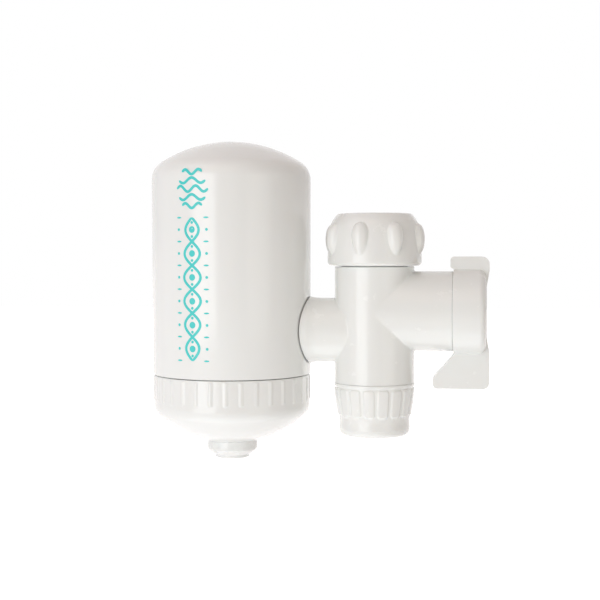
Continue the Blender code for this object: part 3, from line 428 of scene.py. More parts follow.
teal = material("tealInk", "moulded", {
    "Colour": (0.045, 0.60, 0.585), "Deep Colour": (0.09, 0.66, 0.64), "Clouds": 0.9,
    "Gloss Low": 0.30, "Gloss High": 0.45, "Wave": 0.05, "Grain": 0.2}, IOR=1.49)

print("canister")
canister = {"radius": 30.97, "seamRadius": 30.75, "dome": 50.0, "shoulder": 8.0, "wall": 2.6, "edge": 0.35,
            "mouth": 27.25, "mouthInside": 25.1, "chamfer": 0.6, "ledge": 3.0, "pipeHole": 8.8,
            "holeFrom": 24.0, "holeTo": 33.0, "steps": 256}
mouthThread = {"root": 27.1, "crest": 27.85, "rootHalf": 0.8, "crestHalf": 0.25, "pitch": 3.0, "turns": 2,
               "start": -60.0, "steps": 128}


def domed(radius, crown, corner, top, coarse=3.0):
    # the side view of a wide crown that runs into a rounded corner
    slope = asin((radius - corner) / (crown - corner)) * 180 / pi
    cornerZ = top - crown + (crown - corner) * cos(radians(slope))
    over = arc((0, top - crown), crown, 90, 90 - slope, ceil(slope / coarse))
    down = arc((radius - corner, cornerZ), corner, 90 - slope, 0, ceil((90 - slope) / coarse / 1.6))
    return [(max(r, 0.0), z) for r, z in over[:-1] + down]


def canisterShell(c):
    seam, mouthEnd, low, wall = spot["seam"], spot["mouthBottom"], c["seamRadius"], c["wall"]
    outer = domed(c["radius"], c["dome"], c["shoulder"], spot["canisterTop"])
    inner = domed(c["radius"] - wall, c["dome"] - wall, c["shoulder"] - wall, spot["canisterTop"] - wall)
    outer[0] = (0.0, spot["canisterTop"])
    outline = outer + [
        (low, seam + c["edge"]), (low - 0.1, seam + 0.1), (low - c["edge"], seam), (c["mouth"], seam),
        (c["mouth"], mouthEnd + c["chamfer"]), (c["mouth"] - c["chamfer"], mouthEnd), (c["mouthInside"], mouthEnd),
        (c["mouthInside"], seam), (c["radius"] - wall, seam + c["ledge"])] + inner[::-1]
    made = turned("canisterShell", outline, c["steps"], canisterFoot)
    hole = rod("pipeHole", c["pipeHole"], c["holeFrom"], c["holeTo"], 64, (spot["canisterX"], 0, spot["pipeZ"]), "X")
    return softShade(combine(made, "DIFFERENCE", hole))


finishPiece(canisterShell(canister), shellWhite, "housing", "shell_white", "canister_shell")
finishPiece(helixRidge("mouthThread", mouthThread, canisterFoot), shellWhite, "housing", "shell_white")

print("bottom cap")
cap = {"rim": 30.7, "skirt": 30.4, "crown": 42.0, "corner": 6.0, "wall": 2.4, "inside": 28.0,
       "ribs": 33, "ribSteps": 14, "ribHeight": 0.34, "ribWidth": 0.34, "ribLength": 9.6, "ribTaper": 0.1,
       "turn": -72.5, "seatRadius": 10.0, "socket": 6.1, "socketDepth": 3.9, "duct": 5.0, "boss": 7.5,
       "shelf": 25.1, "shelfHeight": -63.7, "floorRadii": (10.0, 13.0, 16.0, 19.0, 22.0), "grid": 0.28}


def ribHeight(angle, z, f, top, bottom):
    # narrow upright ribs: a rounded crest, soft flanks, a rounded lower end
    share = ((angle - radians(f["turn"])) / tau * f["ribs"]) % 1.0
    aside = abs(share - 0.5) * 2 - (1 - f["ribWidth"])
    if aside <= 0:
        return 0.0
    crest = smoothstep(0, 0.75, aside / f["ribWidth"])
    end = bottom + f["ribWidth"] * 1.5 * (1 - crest)
    return f["ribHeight"] * crest * smoothstep(end - 0.35, end + 0.45, z) * smoothstep(top + 0.3, top - 0.3, z)


def bottomCap(c):
    top, flat, seat, seatRadius = spot["capTop"], spot["capLowest"], spot["capSeat"], c["seatRadius"]
    crownZ, ribEnd = flat + c["crown"], top - c["ribLength"]

    def crownHeight(radius, r):
        return crownZ - sqrt(radius ** 2 - r ** 2)

    dome = [(r, flat - z) for r, z in domed(c["skirt"], c["crown"], c["corner"], 0.0, 2.2)][::-1]
    floor = [(r, crownHeight(c["crown"] - c["wall"], r)) for r in (c["boss"], *c["floorRadii"], c["shelf"])]
    outline = [(c["rim"] - 0.55, top), (c["rim"] - 0.34, top - 0.06), (c["rim"] - 0.27, top - 0.25),
               (c["skirt"] - 0.02, ribEnd - 0.4)]
    outline += [point for point in dome if point[0] > seatRadius + 0.5]
    outline += [(seatRadius + 0.25, crownHeight(c["crown"], seatRadius + 0.25)), (seatRadius, seat),
                (c["socket"], seat), (c["socket"], seat + c["socketDepth"]), (c["duct"], seat + c["socketDepth"]),
                (c["duct"], spot["socketRim"]), (c["boss"], spot["socketRim"])] + floor
    outline += [(c["shelf"], c["shelfHeight"]), (c["inside"], c["shelfHeight"]), (c["inside"], top - 0.6),
                (c["inside"] + 0.6, top)]
    outline = refined(outline, c["grid"], ribEnd - 2.0, top - 0.05)
    piece = turned("bottomCap", outline, c["ribs"] * c["ribSteps"], canisterFoot)

    def shift(angle, r, z):
        if r < c["inside"] + 1.6:
            return 0.0
        return ribHeight(angle, z, c, top - 0.55, ribEnd) * (1 + c["ribTaper"] * (z - top) / c["ribLength"])

    return softShade(radialShift(piece, spot["canisterX"], shift), 40)


finishPiece(bottomCap(cap), shellWhite, "cap", "shell_white", "bottom_cap")

print("outlet nozzle")
nozzle = {"radius": 9.7, "tip": 6.7, "collar": 3.4, "taper": 2.0, "lip": 1.19, "bore": 3.5, "plug": 5.8,
          "plugHeight": 3.6, "step": 0.3, "neck": 8.9}


def outletNozzle(n):
    seat = spot["capSeat"]
    top, plugTop, rim = seat - n["step"], seat + n["plugHeight"], seat - 0.05
    collar = top - n["collar"]
    taper = collar - n["taper"]
    tip = taper - n["lip"]
    outline = rounded([
        (n["bore"], plugTop, 0), (n["plug"], plugTop, 0.3), (n["plug"], top, 0), (n["neck"], top, 0),
        (n["neck"], rim, 0), (n["radius"], rim, 0.14), (n["radius"], collar, 1.3), (n["tip"] + 0.5, taper, 0.35),
        (n["tip"], taper, 0.2), (n["tip"], tip, 0.45), (n["bore"], tip, 0.5)])
    return turned("outletNozzle", outline, 128, canisterFoot)


finishPiece(outletNozzle(nozzle), nozzleWhite, "cap", "nozzle_white", "outlet_nozzle")

print("valve body")
valve = {"tube": 15.3, "barrel": 15.3, "pipe": 12.4, "flare": 0.6, "flareLength": 4.0, "fillet": 0.5,
         "rims": (0.3, 0.12, 0.12, 0.3), "pipeEnd": 30.5, "saddle": 31.25, "neck": 12.5, "groove": 11.1,
         "spigot": 8.5, "spigotEnd": 35.83, "outletNeck": 11.05, "port": 7.2, "washerSeat": 8.9, "washerDepth": 3.2,
         "spoolBore": 8.5, "spoolDepth": 10.522, "glandBore": 11.3, "glandStart": 22.0, "pipeBore": 5.5,
         "pipeBoreStart": 10.2, "grid": 0.34, "steps": 96, "rounds": 6,
         "roughEnd": 33, "roughPast": 3, "roughPipe": 13.0, "roughFlare": (20, 24.5), "flareEnd": 25.0}
outletThread = {"root": 10.8, "crest": 11.6, "rootHalf": 0.5, "crestHalf": 0.12, "pitch": 1.5, "turns": 4,
                "start": -62.6, "steps": 96}


def skinDistance(points, v):
    # signed distance, in millimetres, to tube, barrel and pipe run together with small fillets
    x, y, z = points.T
    up = z - spot["barrelZ"]
    low = z - spot["pipeZ"]
    tubeR, barrelR, pipeR = np.hypot(x, y), np.hypot(y, up), np.hypot(y, low)
    flare = np.clip((-x - (v["flareEnd"] - v["flareLength"])) / v["flareLength"], 0, 1)
    tubeD = tubeR - v["tube"]
    barrelD = np.maximum(barrelR - v["barrel"], -x)
    pipeD = np.maximum(pipeR - v["pipe"] - v["flare"] * flare * flare, x)
    facing = np.sqrt(np.clip(1 - (y * y / np.maximum(tubeR * barrelR, 1e-6)) ** 2, 0, 1))
    facingPipe = np.sqrt(np.clip(1 - (y * y / np.maximum(tubeR * pipeR, 1e-6)) ** 2, 0, 1))

    def join(a, b, k):
        k = np.maximum(k, 0.02)
        h = np.maximum(k - np.abs(a - b), 0)
        return np.minimum(a, b) - h * h / (4 * k)

    out = join(tubeD, barrelD, v["fillet"] * facing)
    return join(out, pipeD, v["fillet"] * facingPipe)


def pullOnto(piece, distance, rounds):
    # moves each point along the slope of the distance until it lies on the skin
    count = len(piece.data.vertices)
    co = np.empty(count * 3)
    piece.data.vertices.foreach_get("co", co)
    points = co.reshape(-1, 3) / mm
    for _ in range(rounds):
        value = distance(points)
        slope = np.stack([(distance(points + step) - distance(points - step)) / 0.02
                          for step in np.eye(3) * 0.01], axis=1)
        size = np.maximum((slope ** 2).sum(axis=1), 0.05)
        points = points - slope * np.clip(value / size, -0.6, 0.6)[:, None]
    piece.data.vertices.foreach_set("co", (points * mm).ravel())
    piece.data.update()
    return piece


def selectWhere(piece, test):
    # in edit mode, with the points that pass the test selected
    pick(piece)
    for part in (piece.data.polygons, piece.data.edges, piece.data.vertices):
        part.foreach_set("select", [False] * len(part))
    for v in piece.data.vertices:
        v.select = test(v.co / mm)
    bpy.ops.object.mode_set(mode="EDIT")
    bpy.ops.mesh.select_mode(type="VERT")


def roundedEnd(skin, place, normal, middle, radius, rim):
    # an open end gets a rounded rim in four steps, and is closed
    axis = [abs(n) for n in normal].index(1)
    selectWhere(skin, lambda co: abs(co[axis] - place[axis]) < 0.02)
    done, now = 0.0, radius
    for k in (1, 2, 3, 4):
        turn = pi / 2 * k / 4
        along, new = rim * (sin(turn) - done), radius - rim * (1 - cos(turn))
        bpy.ops.mesh.extrude_edges_move(TRANSFORM_OT_translate={"value": tuple(n * along * mm for n in normal)})
        size = tuple(1 if i == axis else new / now for i in range(3))
        bpy.ops.transform.resize(value=size, center_override=Vector(middle) * mm)
        done, now = sin(turn), new
    bpy.ops.mesh.edge_face_add()
    bpy.ops.object.mode_set(mode="OBJECT")


def valveBody(v):
    # rough tubes run past their ends, are joined, remeshed, cut to length and pulled onto the smooth skin
    top, bottom, steps, rough, flare = spot["tubeTop"], spot["tubeBottom"], v["steps"], v["roughEnd"], v["roughFlare"]
    skin = rod("valveBody", v["tube"], top + v["roughPast"], bottom - v["roughPast"], steps)
    barrel = rod("barrel", v["barrel"], 0, rough, steps, barrelStart, "X")
    pipe = turned("pipe", [(0, 0), (v["pipe"], 0), (v["pipe"], flare[0]), (v["roughPipe"], flare[1]),
                           (v["roughPipe"], rough), (0, rough)], steps, pipeStart, "-X")
    combine(skin, "UNION", barrel, pipe)
    pick(skin)
    skin.data.remesh_voxel_size = v["grid"] * mm
    skin.data.remesh_voxel_adaptivity = 0
    bpy.ops.object.voxel_remesh()

    rims = v["rims"]
    ends = [((0, 0, top - rims[0]), (0, 0, 1), (0, 0, 0), v["tube"], rims[0]),
            ((0, 0, bottom + rims[1]), (0, 0, -1), (0, 0, 0), v["tube"], rims[1]),
            ((spot["barrelEnd"] - rims[2], 0, 0), (1, 0, 0), barrelStart, v["barrel"], rims[2]),
            ((-v["pipeEnd"], 0, 0), (-1, 0, 0), pipeStart, v["pipe"] + v["flare"], rims[3])]
    bpy.ops.object.mode_set(mode="EDIT")
    for place, normal, *_ in ends:
        bpy.ops.mesh.select_all(action="SELECT")
        bpy.ops.mesh.bisect(plane_co=Vector(place) * mm, plane_no=normal, clear_outer=True)
    bpy.ops.object.mode_set(mode="OBJECT")
    pullOnto(skin, lambda points: skinDistance(points, v), v["rounds"])
    for end in ends:
        roundedEnd(skin, *end)
    bpy.ops.object.mode_set(mode="EDIT")
    faceOut()

    combine(skin, "DIFFERENCE", rod("saddle", v["saddle"], -70, 10, 256, canisterFoot))
    neckTop, grooveTop, outletEnd = spot["neckTop"], spot["clipTop"] + 0.3, spot["outletNeckBottom"]
    neck = turned("neck", [
        (0, neckTop), (v["neck"] - 0.3, neckTop), (v["neck"], neckTop - 0.3), (v["neck"], grooveTop),
        (v["groove"], grooveTop), (v["groove"], spot["nutFloorTop"]), (v["neck"], spot["nutFloorTop"]),
        (v["neck"], top - 1), (0, top - 1)], steps)
    outletNeck = turned("outletNeck", [
        (0, bottom + 1), (v["outletNeck"], bottom + 1), (v["outletNeck"], outletEnd + 0.5),
        (v["outletNeck"] - 0.5, outletEnd), (0, outletEnd)], steps)
    spigot = rod("spigot", v["spigot"], 14, v["spigotEnd"], 64, pipeStart, "-X")
    combine(skin, "UNION", neck, outletNeck, spigot)
    inlet = turned("inletPort", [
        (0, 0), (v["washerSeat"], 0), (v["washerSeat"], -v["washerDepth"]), (v["port"], -v["washerDepth"]),
        (v["port"], spot["barrelZ"]), (0, spot["barrelZ"])], 64)
    outlet = rod("outletPort", v["port"], spot["barrelZ"], -67, 64)
    spool = turned("spoolBore", [
        (0, -v["spoolDepth"]), (v["spoolBore"], -v["spoolDepth"]), (v["spoolBore"], v["glandStart"]),
        (v["glandBore"], v["glandStart"]), (v["glandBore"], 31), (0, 31)], 64, barrelStart, "X")
    channel = rod("pipeBore", v["pipeBore"], v["pipeBoreStart"], 37, 48, pipeStart, "-X")
    combine(skin, "DIFFERENCE", inlet, outlet, spool, channel)
    return evenShade(skin, 38)


finishPiece(valveBody(valve), valveWhite, "housing", "valve_white", "valve_body")
finishPiece(helixRidge("outletThread", outletThread), valveWhite, "housing", "valve_white")

print("inlet nut")
nut = {"lobes": 8, "turn": -103.6, "lobeLength": 12.6, "lobeWidth": 6.5, "lobeReach": 19.9, "lobeDrop": 9.9,
       "fullness": 0.18, "blunt": 2.2, "blend": 0.9, "belly": 18.1, "foot": 1.55, "mouth": 12.0, "bore": 14.2,
       "floorBore": 12.8, "ledge": 7.8, "grid": 0.32, "lobeSteps": 48,
       "profile": ((13.5, 0), (14.25, 0.18), (14.8, 0.75), (15.75, 2.0), (16.5, 3.3), (17.05, 4.9), (17.45, 7.2),
                   (17.75, 10.4), (17.95, 13.8), (18.1, 16.4), (18.1, 18.3))}    # radius, and drop below the top
inletThread = {"root": 10.98, "crest": 10.4, "rootHalf": 0.42, "crestHalf": 0.06, "pitch": 1.06, "turns": 6,
               "start": 0.8, "steps": 72}


def inletNut(n):
    top, bottom, floor = spot["nutTop"], spot["nutBottom"], spot["nutFloorTop"]
    outline = [(n["mouth"], top - 0.4), (n["mouth"] + 0.12, top - 0.12), (n["mouth"] + 0.4, top), (12.9, top)]
    outline += smoothThrough([(r, top - drop) for r, drop in n["profile"]], 6)
    outline += arc((n["belly"] - n["foot"], bottom + n["foot"]), n["foot"], 0, -90, 8)
    outline += [(n["floorBore"] + 0.3, bottom), (n["floorBore"], bottom + 0.3), (n["floorBore"], floor),
                (n["bore"], floor), (n["bore"], n["ledge"]), (n["mouth"], n["ledge"])]
    outline = refined(outline, n["grid"], bottom + 0.2, top - 0.2)
    piece = turned("inletNut", outline, n["lobes"] * n["lobeSteps"])
    depth = n["lobeReach"] - n["belly"] + n["lobeWidth"] / 4
    base = n["lobeReach"] - depth

    def shift(angle, r, z):
        if r < n["bore"] + 0.4 or not bottom + 0.8 < z < top - 0.3:
            return 0.0
        share = ((angle - radians(n["turn"])) / tau * n["lobes"] + 0.5) % 1.0 - 0.5
        along = (z - (top - n["lobeDrop"])) / (n["lobeLength"] / 2)
        if abs(along) >= 1:
            return 0.0
        blunt = (1 - abs(along) ** n["blunt"]) ** (1 / n["blunt"])
        width = blunt * (1 + n["fullness"] * along) * n["lobeWidth"] / 2
        aside = r * sin(share * tau / n["lobes"])
        inside = 1 - (aside / width) ** 2
        reach = base + depth * blunt * sqrt(inside) if inside > 0 else base - 2 * (abs(aside) - width)
        h = max(n["blend"] - abs(reach - r), 0)
        return max(reach, r) + h * h / (4 * n["blend"]) - r

    return softShade(radialShift(piece, 0, shift), 40)


finishPiece(inletNut(nut), valveWhite, "coupling_nut", "valve_white", "inlet_nut")
finishPiece(helixRidge("inletThread", inletThread), brass, "coupling_nut", "plated_brass")

print("switch knob")
knob = {"radius": 16.3, "disc": 16.55, "shoulder": 15.12, "gap": 0.25, "edge": 2.6, "thickness": 8.2, "up": 20.9,
        "down": 29.4, "hook": 7.8, "lip": 1.2, "proud": 1.3, "dish": 1.0, "barrel": 15.3, "tipHeight": 4.2,
        "soft": 1.1, "wall": 2.0, "hub": 8.5, "socket": 6.146, "seat": 1.3, "recess": 2.4, "screwNeck": 1.8,
        "screwHead": 2.9, "coverHole": 3.7, "cover": 3.4}


def switchKnob(k):
    start, face, inside = spot["knobStart"], spot["knobFace"], spot["knobInside"]
    disc = rounded([(0, start - k["gap"], 0), (k["shoulder"], start - k["gap"], 0), (k["shoulder"], start, 0),
                    (k["disc"], start, 0.12), (k["disc"], face, k["edge"]), (0, face, 0)], 9)
    piece = turned("switchKnob", disc, 192, barrelStart, "X")
    front, back, barrel = face + k["proud"], start - k["hook"], k["barrel"]
    bar = rounded([
        (start - k["lip"], k["radius"], 1.12), (start - k["lip"], k["up"], 1.5), (front, k["up"], 3.0),
        (front, barrel, 4.0), (front - k["dish"], 10.0, 8.0), (front - k["dish"], -10.0, 8.0), (front, -barrel, 4.0),
        (front, -k["down"], 2.4), (back, -k["down"], 1.7), (back, k["tipHeight"] - k["down"], 1.3),
        (start, -k["radius"], 0), (start + k["wall"], k["wall"] - k["radius"], 0),
        (start + k["wall"], k["radius"] - k["wall"], 0), (start, k["radius"], 0)], 9)
    selectNothing()
    bpy.ops.mesh.primitive_circle_add(vertices=len(bar), radius=mm, fill_type="NGON", rotation=(pi / 2, 0, 0))
    lever = settle(bpy.context.object)
    lever.name = "lever"
    for v, (x, z) in zip(lever.data.vertices, bar):
        v.co = Vector((x, -k["thickness"] / 2, z + spot["barrelZ"])) * mm
    bpy.ops.object.mode_set(mode="EDIT")
    bpy.ops.mesh.select_all(action="SELECT")
    bpy.ops.mesh.extrude_region_move(TRANSFORM_OT_translate={"value": (0, k["thickness"] * mm, 0)})
    faceOut()
    soft = lever.modifiers.new("soft", "BEVEL")
    soft.width, soft.segments, soft.limit_method, soft.angle_limit = k["soft"] * mm, 5, "ANGLE", radians(50)
    combine(piece, "UNION", applyAll(lever))
    rim = k["radius"] - k["wall"]
    hollow = turned("knobHollow", [(k["hub"], start - 2), (rim, start - 2), (rim, inside), (k["hub"], inside)], 96,
                    barrelStart, "X")
    socket = rod("driveSocket", k["socket"], start - 0.3, inside, 6, barrelStart, "X")
    seat = spot["leverMiddle"] - k["seat"]
    screwHole = turned("screwHole", [
        (0, inside - 0.3), (k["screwNeck"], inside - 0.3), (k["screwNeck"], seat - k["recess"]),
        (k["screwHead"], seat - k["recess"]), (k["screwHead"], seat), (k["coverHole"], seat),
        (k["coverHole"], face + 3), (0, face + 3)], 64, barrelStart, "X")
    combine(piece, "DIFFERENCE", hollow, socket, screwHole)
    return evenShade(piece, 35)


def knobCover(k):
    top = spot["leverMiddle"]
    return turned("knobCover", rounded([(0, top - 1, 0), (k["cover"], top - 1, 0), (k["cover"], top, 0.35),
                                        (0, top, 0)], 12), 96, barrelStart, "X")


finishPiece(switchKnob(knob), knobWhite, "switch", "knob_white", "switch_knob")
finishPiece(knobCover(knob), knobWhite, "switch", "knob_white", "knob_cover")

print("outlet ring")
ring = {"top": -54.8, "length": 19.9, "crest": 15.5, "waist": 14.9, "waistDrop": 7.2, "foot": 14.1, "footDrop": 12.4,
        "bottom": 13.45, "corner": 2.0, "bead": 0.3, "beadRadius": 15.2, "beadInside": 15.0, "beadRise": 0.26,
        "opening": 8.9, "seat": -68.9, "threadBore": 11.7, "turn": -83.0, "pads": 17, "padSteps": 26,
        "padHeight": 0.40, "padWidth": 0.74, "padTop": 1.7, "padBottom": 12.2, "padCorner": 1.1, "soft": 0.36,
        "collar": 0.9, "grid": 0.2}


def outletRing(o):
    top, bottom, corner, bore = o["top"], o["top"] - o["length"], o["corner"], o["threadBore"]
    side = smoothThrough([
        (o["crest"], top - 0.06), (o["crest"] - 0.1, top - 3.0), (o["waist"], top - o["waistDrop"]),
        (o["foot"], top - o["footDrop"]), (o["bottom"] + 0.18, bottom + corner + 1.0),
        (o["bottom"], bottom + corner)], 6)
    outline = [(o["beadInside"], top), (o["beadInside"], top + o["beadRise"]), (o["beadRadius"], top + o["beadRise"])]
    outline += arc((o["beadRadius"], top - 0.06), o["bead"], 90, 0, 4)[1:-1] + side
    outline += arc((o["bottom"] - corner, bottom + corner), corner, 0, -90, 9)[1:]
    outline += [(o["opening"] + 0.3, bottom), (o["opening"], bottom + 0.3), (o["opening"], o["seat"]),
                (bore, o["seat"]), (bore, top - 0.4), (bore + 0.4, top)]
    outline = refined(outline, o["grid"], top - o["padBottom"] - 1.0, top + 0.02)
    piece = turned("outletRing", outline, o["pads"] * o["padSteps"])

    def shift(angle, r, z):                              # the side sinks everywhere but at the pads and the collar
        if r < bore + 0.6 or z > top - 0.1:
            return 0.0
        share = ((angle - radians(o["turn"])) / tau * o["pads"]) % 1.0 - 0.5
        high, low = top - o["padTop"], top - o["padBottom"]
        aside = abs(share) * tau / o["pads"] * r - o["padWidth"] * pi / o["pads"] * r + o["padCorner"]
        above = abs(z - (high + low) / 2) - (high - low) / 2 + o["padCorner"]
        pad = 1 - smoothstep(-o["soft"], o["soft"], hypot(max(aside, 0), max(above, 0)) - o["padCorner"])
        band = smoothstep(top - o["collar"] - o["soft"], top - o["collar"] + o["soft"], z)
        fade = smoothstep(bottom + corner + 0.2, bottom + corner + 4.0, z)
        return -o["padHeight"] * (1 - max(band, pad)) * fade

    return softShade(radialShift(piece, 0, shift), 40)


finishPiece(outletRing(ring), valveWhite, "ring", "valve_white", "outlet_ring")

print("spray plate")
spray = {"face": 8.6, "bottom": -73.9, "thickness": 1.6, "cup": 7.0, "flange": 11.4, "flangeTop": -66.6,
         "flangeBottom": -68.6, "hole": 0.9, "flare": 0.4, "circles": ((5, 2.66), (10, 5.32))}


def sprayPlate(s):
    bottom, floor = s["bottom"], s["bottom"] + s["thickness"]
    outline = rounded([
        (0, floor, 0), (s["cup"], floor, 0.4), (s["cup"], s["flangeTop"], 0), (s["flange"], s["flangeTop"], 0.2),
        (s["flange"], s["flangeBottom"], 0.2), (s["face"], s["flangeBottom"], 0.2), (s["face"], bottom, 0.5),
        (0, bottom, 0)], 15)
    plate = turned("sprayPlate", outline, 128)
    tool = [(0, floor + 0.5), (s["hole"], floor + 0.5), (s["hole"], bottom + 0.25),
            (s["hole"] + s["flare"], bottom - 0.15), (0, bottom - 0.15)]
    holes = []
    for count, radius in s["circles"]:
        for turn in (tau * i / count for i in range(count)):
            holes.append(turned("sprayHole", tool, 20, (radius * cos(turn), radius * sin(turn), 0)))
    pick(holes[0], *holes[1:])
    bpy.ops.object.join()
    combine(plate, "DIFFERENCE", bpy.context.object)
    return softShade(plate, 35)


finishPiece(sprayPlate(spray), nozzleWhite, "spray", "nozzle_white", "spray_plate")

print("washer and strainer")
washer = {"inside": 7.0, "outside": 10.35, "thick": 2.0, "corner": 0.3}
strainer = {"radius": 8.6, "rim": 0.9, "wire": 0.11, "spacing": 0.72, "top": -2.3, "thick": 0.6, "corner": 0.25}


def inletWasher(w):
    corners = [(w["inside"], -w["thick"]), (w["inside"], 0), (w["outside"], 0), (w["outside"], -w["thick"])]
    return turned("inletWasher", rounded([(*corner, w["corner"]) for corner in corners], 20), 96)


finishPiece(inletWasher(washer), rubber, "housing", "seal_rubber", "inlet_washer")


def inletStrainer(s):
    # woven wire across a pressed rim; each wire is one bar, bent over and under its neighbours
    low, middle, inside = s["top"] - s["thick"], s["top"] - s["thick"] / 2, s["radius"] - s["rim"]
    corners = [(inside, s["top"]), (s["radius"], s["top"]), (s["radius"], low), (inside, low)]
    rim = turned("inletStrainer", rounded([(*corner, s["corner"]) for corner in corners], 30), 72)
    reach = s["radius"] - s["rim"] / 2
    count = int(reach / s["spacing"])
    wires = []
    for along in (0, 1):
        for i in range(-count, count + 1):
            offset = i * s["spacing"]
            half = sqrt(reach ** 2 - offset ** 2)
            selectNothing()
            bpy.ops.mesh.primitive_circle_add(vertices=5, radius=s["wire"] * mm, fill_type="NGON",
                                              location=(-half * mm, 0, 0), rotation=(0, pi / 2, 0))
            wire = bpy.context.object
            bpy.ops.object.mode_set(mode="EDIT")
            steps = max(4, round(2 * half / s["spacing"] * 2))
            for _ in range(steps):
                bpy.ops.mesh.extrude_region_move(TRANSFORM_OT_translate={"value": (2 * half / steps * mm, 0, 0)})
            faceOut()
            settle(wire)
            for v in wire.data.vertices:
                wave = s["wire"] * cos(pi * v.co.x / mm / s["spacing"] + pi * (i + along))
                v.co.z += (middle + wave) * mm
                v.co.y += offset * mm
                if along:
                    v.co.x, v.co.y = -v.co.y, v.co.x
            wires.append(wire)
    pick(rim, *wires)
    bpy.ops.object.join()
    return softShade(rim, 50)


finishPiece(inletStrainer(strainer), steel, "housing", "steel", "inlet_strainer")

print("inner pieces")
coats = {"thread_insert": brass, "nut_clip": steel, "valve_spool": innerWhite, "spool_seal_inner": rubber,
         "spool_seal_outer": rubber, "barrel_gland": innerWhite, "knob_screw": steel, "outlet_gasket": rubber,
         "pipe_gasket": rubber, "pipe_nut": innerWhite, "cap_seal": rubber, "candle_base": innerWhite,
         "candle_gasket": rubber, "ceramic_candle": ceramic, "carbon_core": carbon, "felt_disc": felt}
for name, coat in coats.items():
    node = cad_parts[name]
    node.data.materials.clear()
    node.data.materials.append(coat)

print("print on the canister")
motif = {"middle": -17.0, "thick": 0.022, "gap": 0.004, "line": 1.05, "fine": 0.75, "tapers": (0.35, 0.75, 0.95),
         "loops": 6, "top": 8.5, "bottom": -44.5, "swing": 3.5, "side": 5.9, "dash": 2.0, "eye": 1.25, "dot": 0.55,
         "dotAway": 2.6, "loopSteps": 30, "waveSteps": 28, "waveTop": 25.3, "wavePitch": 3.1,
         "wavePeriods": (1.5, 1.5, 2.0, 1.5, 1.5),
         "waveSizes": ((4.2, 0.9), (5.6, 1.0), (6.6, 1.1), (5.6, 1.0), (4.2, 0.9))}     # half width, height


def sideRadius(z):
    top = spot["canisterTop"] - canister["shoulder"]
    share = (top - z) / (top - spot["seam"])
    return canister["radius"] + (canister["seamRadius"] - canister["radius"]) * min(max(share, 0), 1)


def inkLine(path, width):
    # a band of ink along a path of (across, height) on the unrolled side, tapered at its ends
    count, tapers = len(path), motif["tapers"]
    left, right = [], []
    for i, (s, z) in enumerate(path):
        a, b = path[max(i - 1, 0)], path[min(i + 1, count - 1)]
        ds, dz = b[0] - a[0], b[1] - a[1]
        fromEnd = min(i, count - 1 - i)
        half = width / 2 * (tapers[fromEnd] if fromEnd < len(tapers) else 1.0) / hypot(ds, dz)
        left.append((s - dz * half, z + ds * half))
        right.append((s + dz * half, z - ds * half))
    return left + right, [(i, i + 1, count + i + 1, count + i) for i in range(count - 1)]


def inkDot(s, z, radius, corners=20):
    points = [(s + radius * cos(tau * i / corners), z + radius * sin(tau * i / corners)) for i in range(corners)]
    return points, [tuple(range(corners))]


def printedMotif(m):
    # rows of waves over a twisted pair of lines with an eye in each loop, and ticks and dots at both sides
    shapes = []
    for k, ((half, height), periods) in enumerate(zip(m["waveSizes"], m["wavePeriods"])):
        z, lean, steps = m["waveTop"] - k * m["wavePitch"], pi * (k % 2), int(periods * m["waveSteps"])
        shapes.append(inkLine([(-half + 2 * half * i / steps, z + height * sin(tau * periods * i / steps + lean))
                               for i in range(steps + 1)], m["line"]))
    top, bottom, loops = m["top"], m["bottom"], m["loops"]
    steps = loops * m["loopSteps"]
    for side in (1, -1):
        shapes.append(inkLine([(side * m["swing"] * sin(pi * loops * i / steps) * (0.72 + 0.28 * sin(pi * i / steps)),
                                top + (bottom - top) * i / steps) for i in range(steps + 1)], m["line"]))
    pitch = (top - bottom) / loops
    for k in range(loops):
        middle = top - pitch * (k + 0.5)
        shapes.append(inkDot(0, middle, m["eye"]))
        for z in (middle + m["dotAway"], middle - m["dotAway"]):
            shapes.append(inkDot(0, z, m["dot"], 14))
    for side in (1, -1):
        for k in range(loops * 2 + 1):
            z = top - pitch / 2 * k
            if k % 2 == 0:
                dash = [(side * (m["side"] - 1.2 + m["dash"] * i / 4), z) for i in range(5)]
                shapes.append(inkLine(dash, m["fine"]))
            else:
                shapes.append(inkDot(side * m["side"], z, m["dot"], 14))
    points, faces = [], []
    for corners, sides in shapes:
        faces += [tuple(len(points) + i for i in face) for face in sides]
        points += corners
    mesh = bpy.data.meshes.new("printedMotif")
    mesh.from_pydata([(s, z, 0) for s, z in points], [], faces)
    ink = bpy.data.objects.new("printedMotif", mesh)
    scene.collection.objects.link(ink)
    pick(ink)
    for v in mesh.vertices:                              # the flat ink is laid round the canister's side
        s, z = v.co.x, v.co.y
        turn = radians(m["middle"]) + s / sideRadius(z)
        r = sideRadius(z) + m["gap"]
        v.co = Vector((spot["canisterX"] + r * sin(turn), -r * cos(turn), z)) * mm
    bpy.ops.object.mode_set(mode="EDIT")
    faceOut()
    axis = Vector((spot["canisterX"] * mm, 0, 0))
    for face in [face for face in mesh.polygons if face.normal.xy.dot(face.center.xy - axis.xy) < 0]:
        face.flip()
    coat = ink.modifiers.new("coat", "SOLIDIFY")
    coat.thickness, coat.offset = m["thick"] * mm, 1
    return softShade(applyAll(ink), 40)


finishPiece(printedMotif(motif), teal, "housing", "shell_white")

